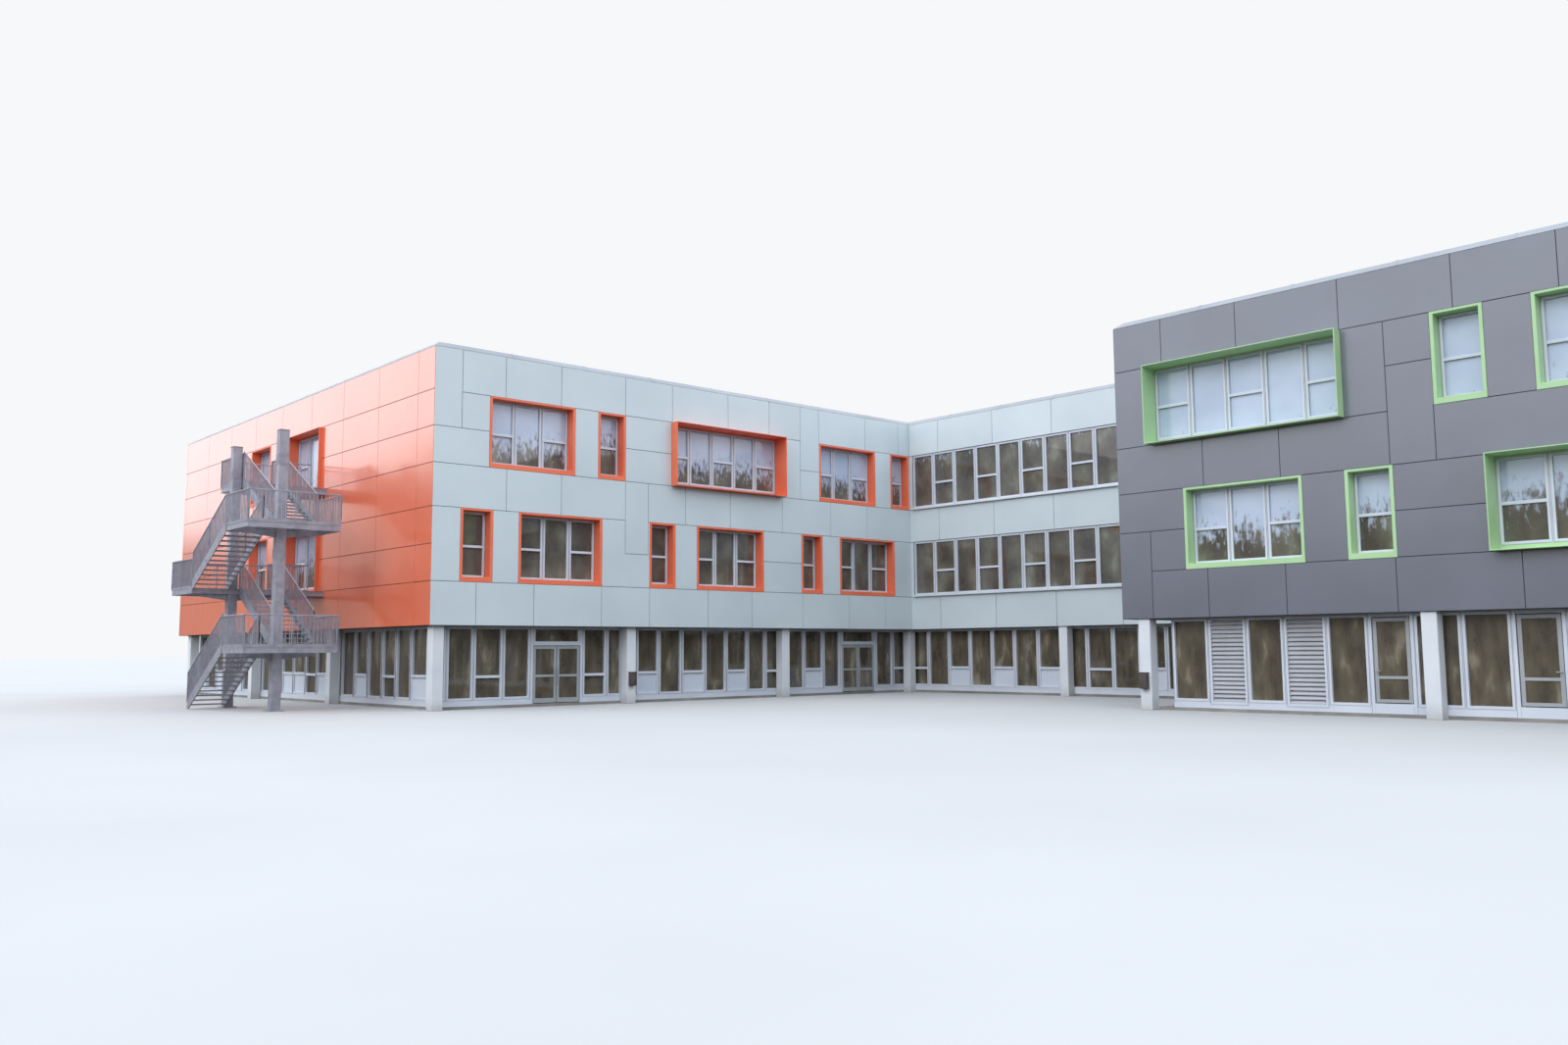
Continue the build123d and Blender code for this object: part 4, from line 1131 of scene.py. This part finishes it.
world = bpy.data.worlds.new("studio")
bpy.context.scene.world = world
world.use_nodes = True
sky_nodes, sky_links = world.node_tree.nodes, world.node_tree.links
sky_light = sky_nodes["Background"]
direction = sky_nodes.new("ShaderNodeTexCoord")
elevation = sky_nodes.new("ShaderNodeSeparateXYZ")
sky_links.new(direction.outputs["Generated"], elevation.inputs["Vector"])
near_band = sky_nodes.new("ShaderNodeValToRGB")
near_band.color_ramp.elements[-1].color = (0, 0, 0, 1)
for place_on, shade in ((0.33, 0), (0.45, 1), (0.52, 1), (0.64, 0)):
    stop = near_band.color_ramp.elements.new(place_on)
    stop.color = (shade, shade, shade, 1)
sideways = calculate(world.node_tree, "MULTIPLY", elevation.outputs["X"], -1.0)
sky_links.new(sideways, near_band.inputs["Fac"])
lowered = calculate(world.node_tree, "MULTIPLY_ADD", near_band.outputs["Color"], -near_band_rise,
                    elevation.outputs["Z"])
band_edge = noise(world.node_tree, direction.outputs["Generated"], 14, 5)
ragged_height = calculate(world.node_tree, "MULTIPLY_ADD", band_edge, -edge_roughness, lowered)
sky_bands = sky_nodes.new("ShaderNodeValToRGB")
bands = sky_bands.color_ramp.elements
bands[0].color = (0.16, 0.155, 0.15, 1)
bands[-1].color = (0.90, 1.0, 1.14, 1)
for position, colour in ((0.005, (0.12, 0.10, 0.085)), (0.035, (0.17, 0.155, 0.14)),
                         (0.06, (1.0, 1.04, 1.10)), (0.3, (1.02, 1.08, 1.18))):
    bands.new(position).color = (*colour, 1)
sky_links.new(ragged_height, sky_bands.inputs["Fac"])
sky_links.new(sky_bands.outputs["Color"], sky_light.inputs["Color"])
towards_glow = sky_nodes.new("ShaderNodeVectorMath")
towards_glow.operation = "DOT_PRODUCT"
towards_glow.inputs[1].default_value = (-0.44, 0.86, 0.25)
sky_links.new(direction.outputs["Generated"], towards_glow.inputs[0])
glow = sky_nodes.new("ShaderNodeMapRange")
glow.interpolation_type = "SMOOTHSTEP"
glow.inputs["From Min"].default_value = 0.86
glow.inputs["To Min"].default_value = 1.62
glow.inputs["To Max"].default_value = 1.9
sky_links.new(towards_glow.outputs["Value"], glow.inputs["Value"])
sky_links.new(glow.outputs["Result"], sky_light.inputs["Strength"])
backdrop = sky_nodes.new("ShaderNodeBackground")
backdrop.inputs["Color"].default_value = (*paint(247, 248, 250), 1)
seen_rays = sky_nodes.new("ShaderNodeLightPath")
sky_choice = sky_nodes.new("ShaderNodeMixShader")
sky_links.new(seen_rays.outputs["Is Camera Ray"], sky_choice.inputs["Fac"])
sky_links.new(sky_light.outputs["Background"], sky_choice.inputs[1])
sky_links.new(backdrop.outputs["Background"], sky_choice.inputs[2])
sky_links.new(sky_choice.outputs["Shader"], sky_nodes["World Output"].inputs["Surface"])

sun = bpy.data.lights.new("soft_key", "SUN")
sun.energy = 0.6
sun.angle = math.radians(30)
sun.color = (1.0, 0.97, 0.93)
key = bpy.data.objects.new("soft_key", sun)
bpy.context.scene.collection.objects.link(key)
key.rotation_mode = "QUATERNION"
key.rotation_quaternion = Vector((0.85, 0.12, -0.5)).to_track_quat("-Z", "Y")

camera_place = Vector((-9.5198, -19.2436, 0.9515))
camera_right = Vector((0.74416298, -0.66796443, -0.00670614))
camera_up = Vector((-0.06345448, -0.08067974, 0.99471821))
camera_back = Vector((-0.66497743, -0.73980693, -0.10242421))
lens = bpy.data.cameras.new("camera")
lens.lens = 28.54
lens.sensor_width = 36
lens.clip_end = 1000
camera = bpy.data.objects.new("camera", lens)
bpy.context.scene.collection.objects.link(camera)
camera.matrix_world = Matrix.Translation(camera_place) @ Matrix(
    (camera_right, camera_up, camera_back)).transposed().to_4x4()
bpy.context.scene.camera = camera
bpy.context.scene.view_settings.view_transform = "Standard"
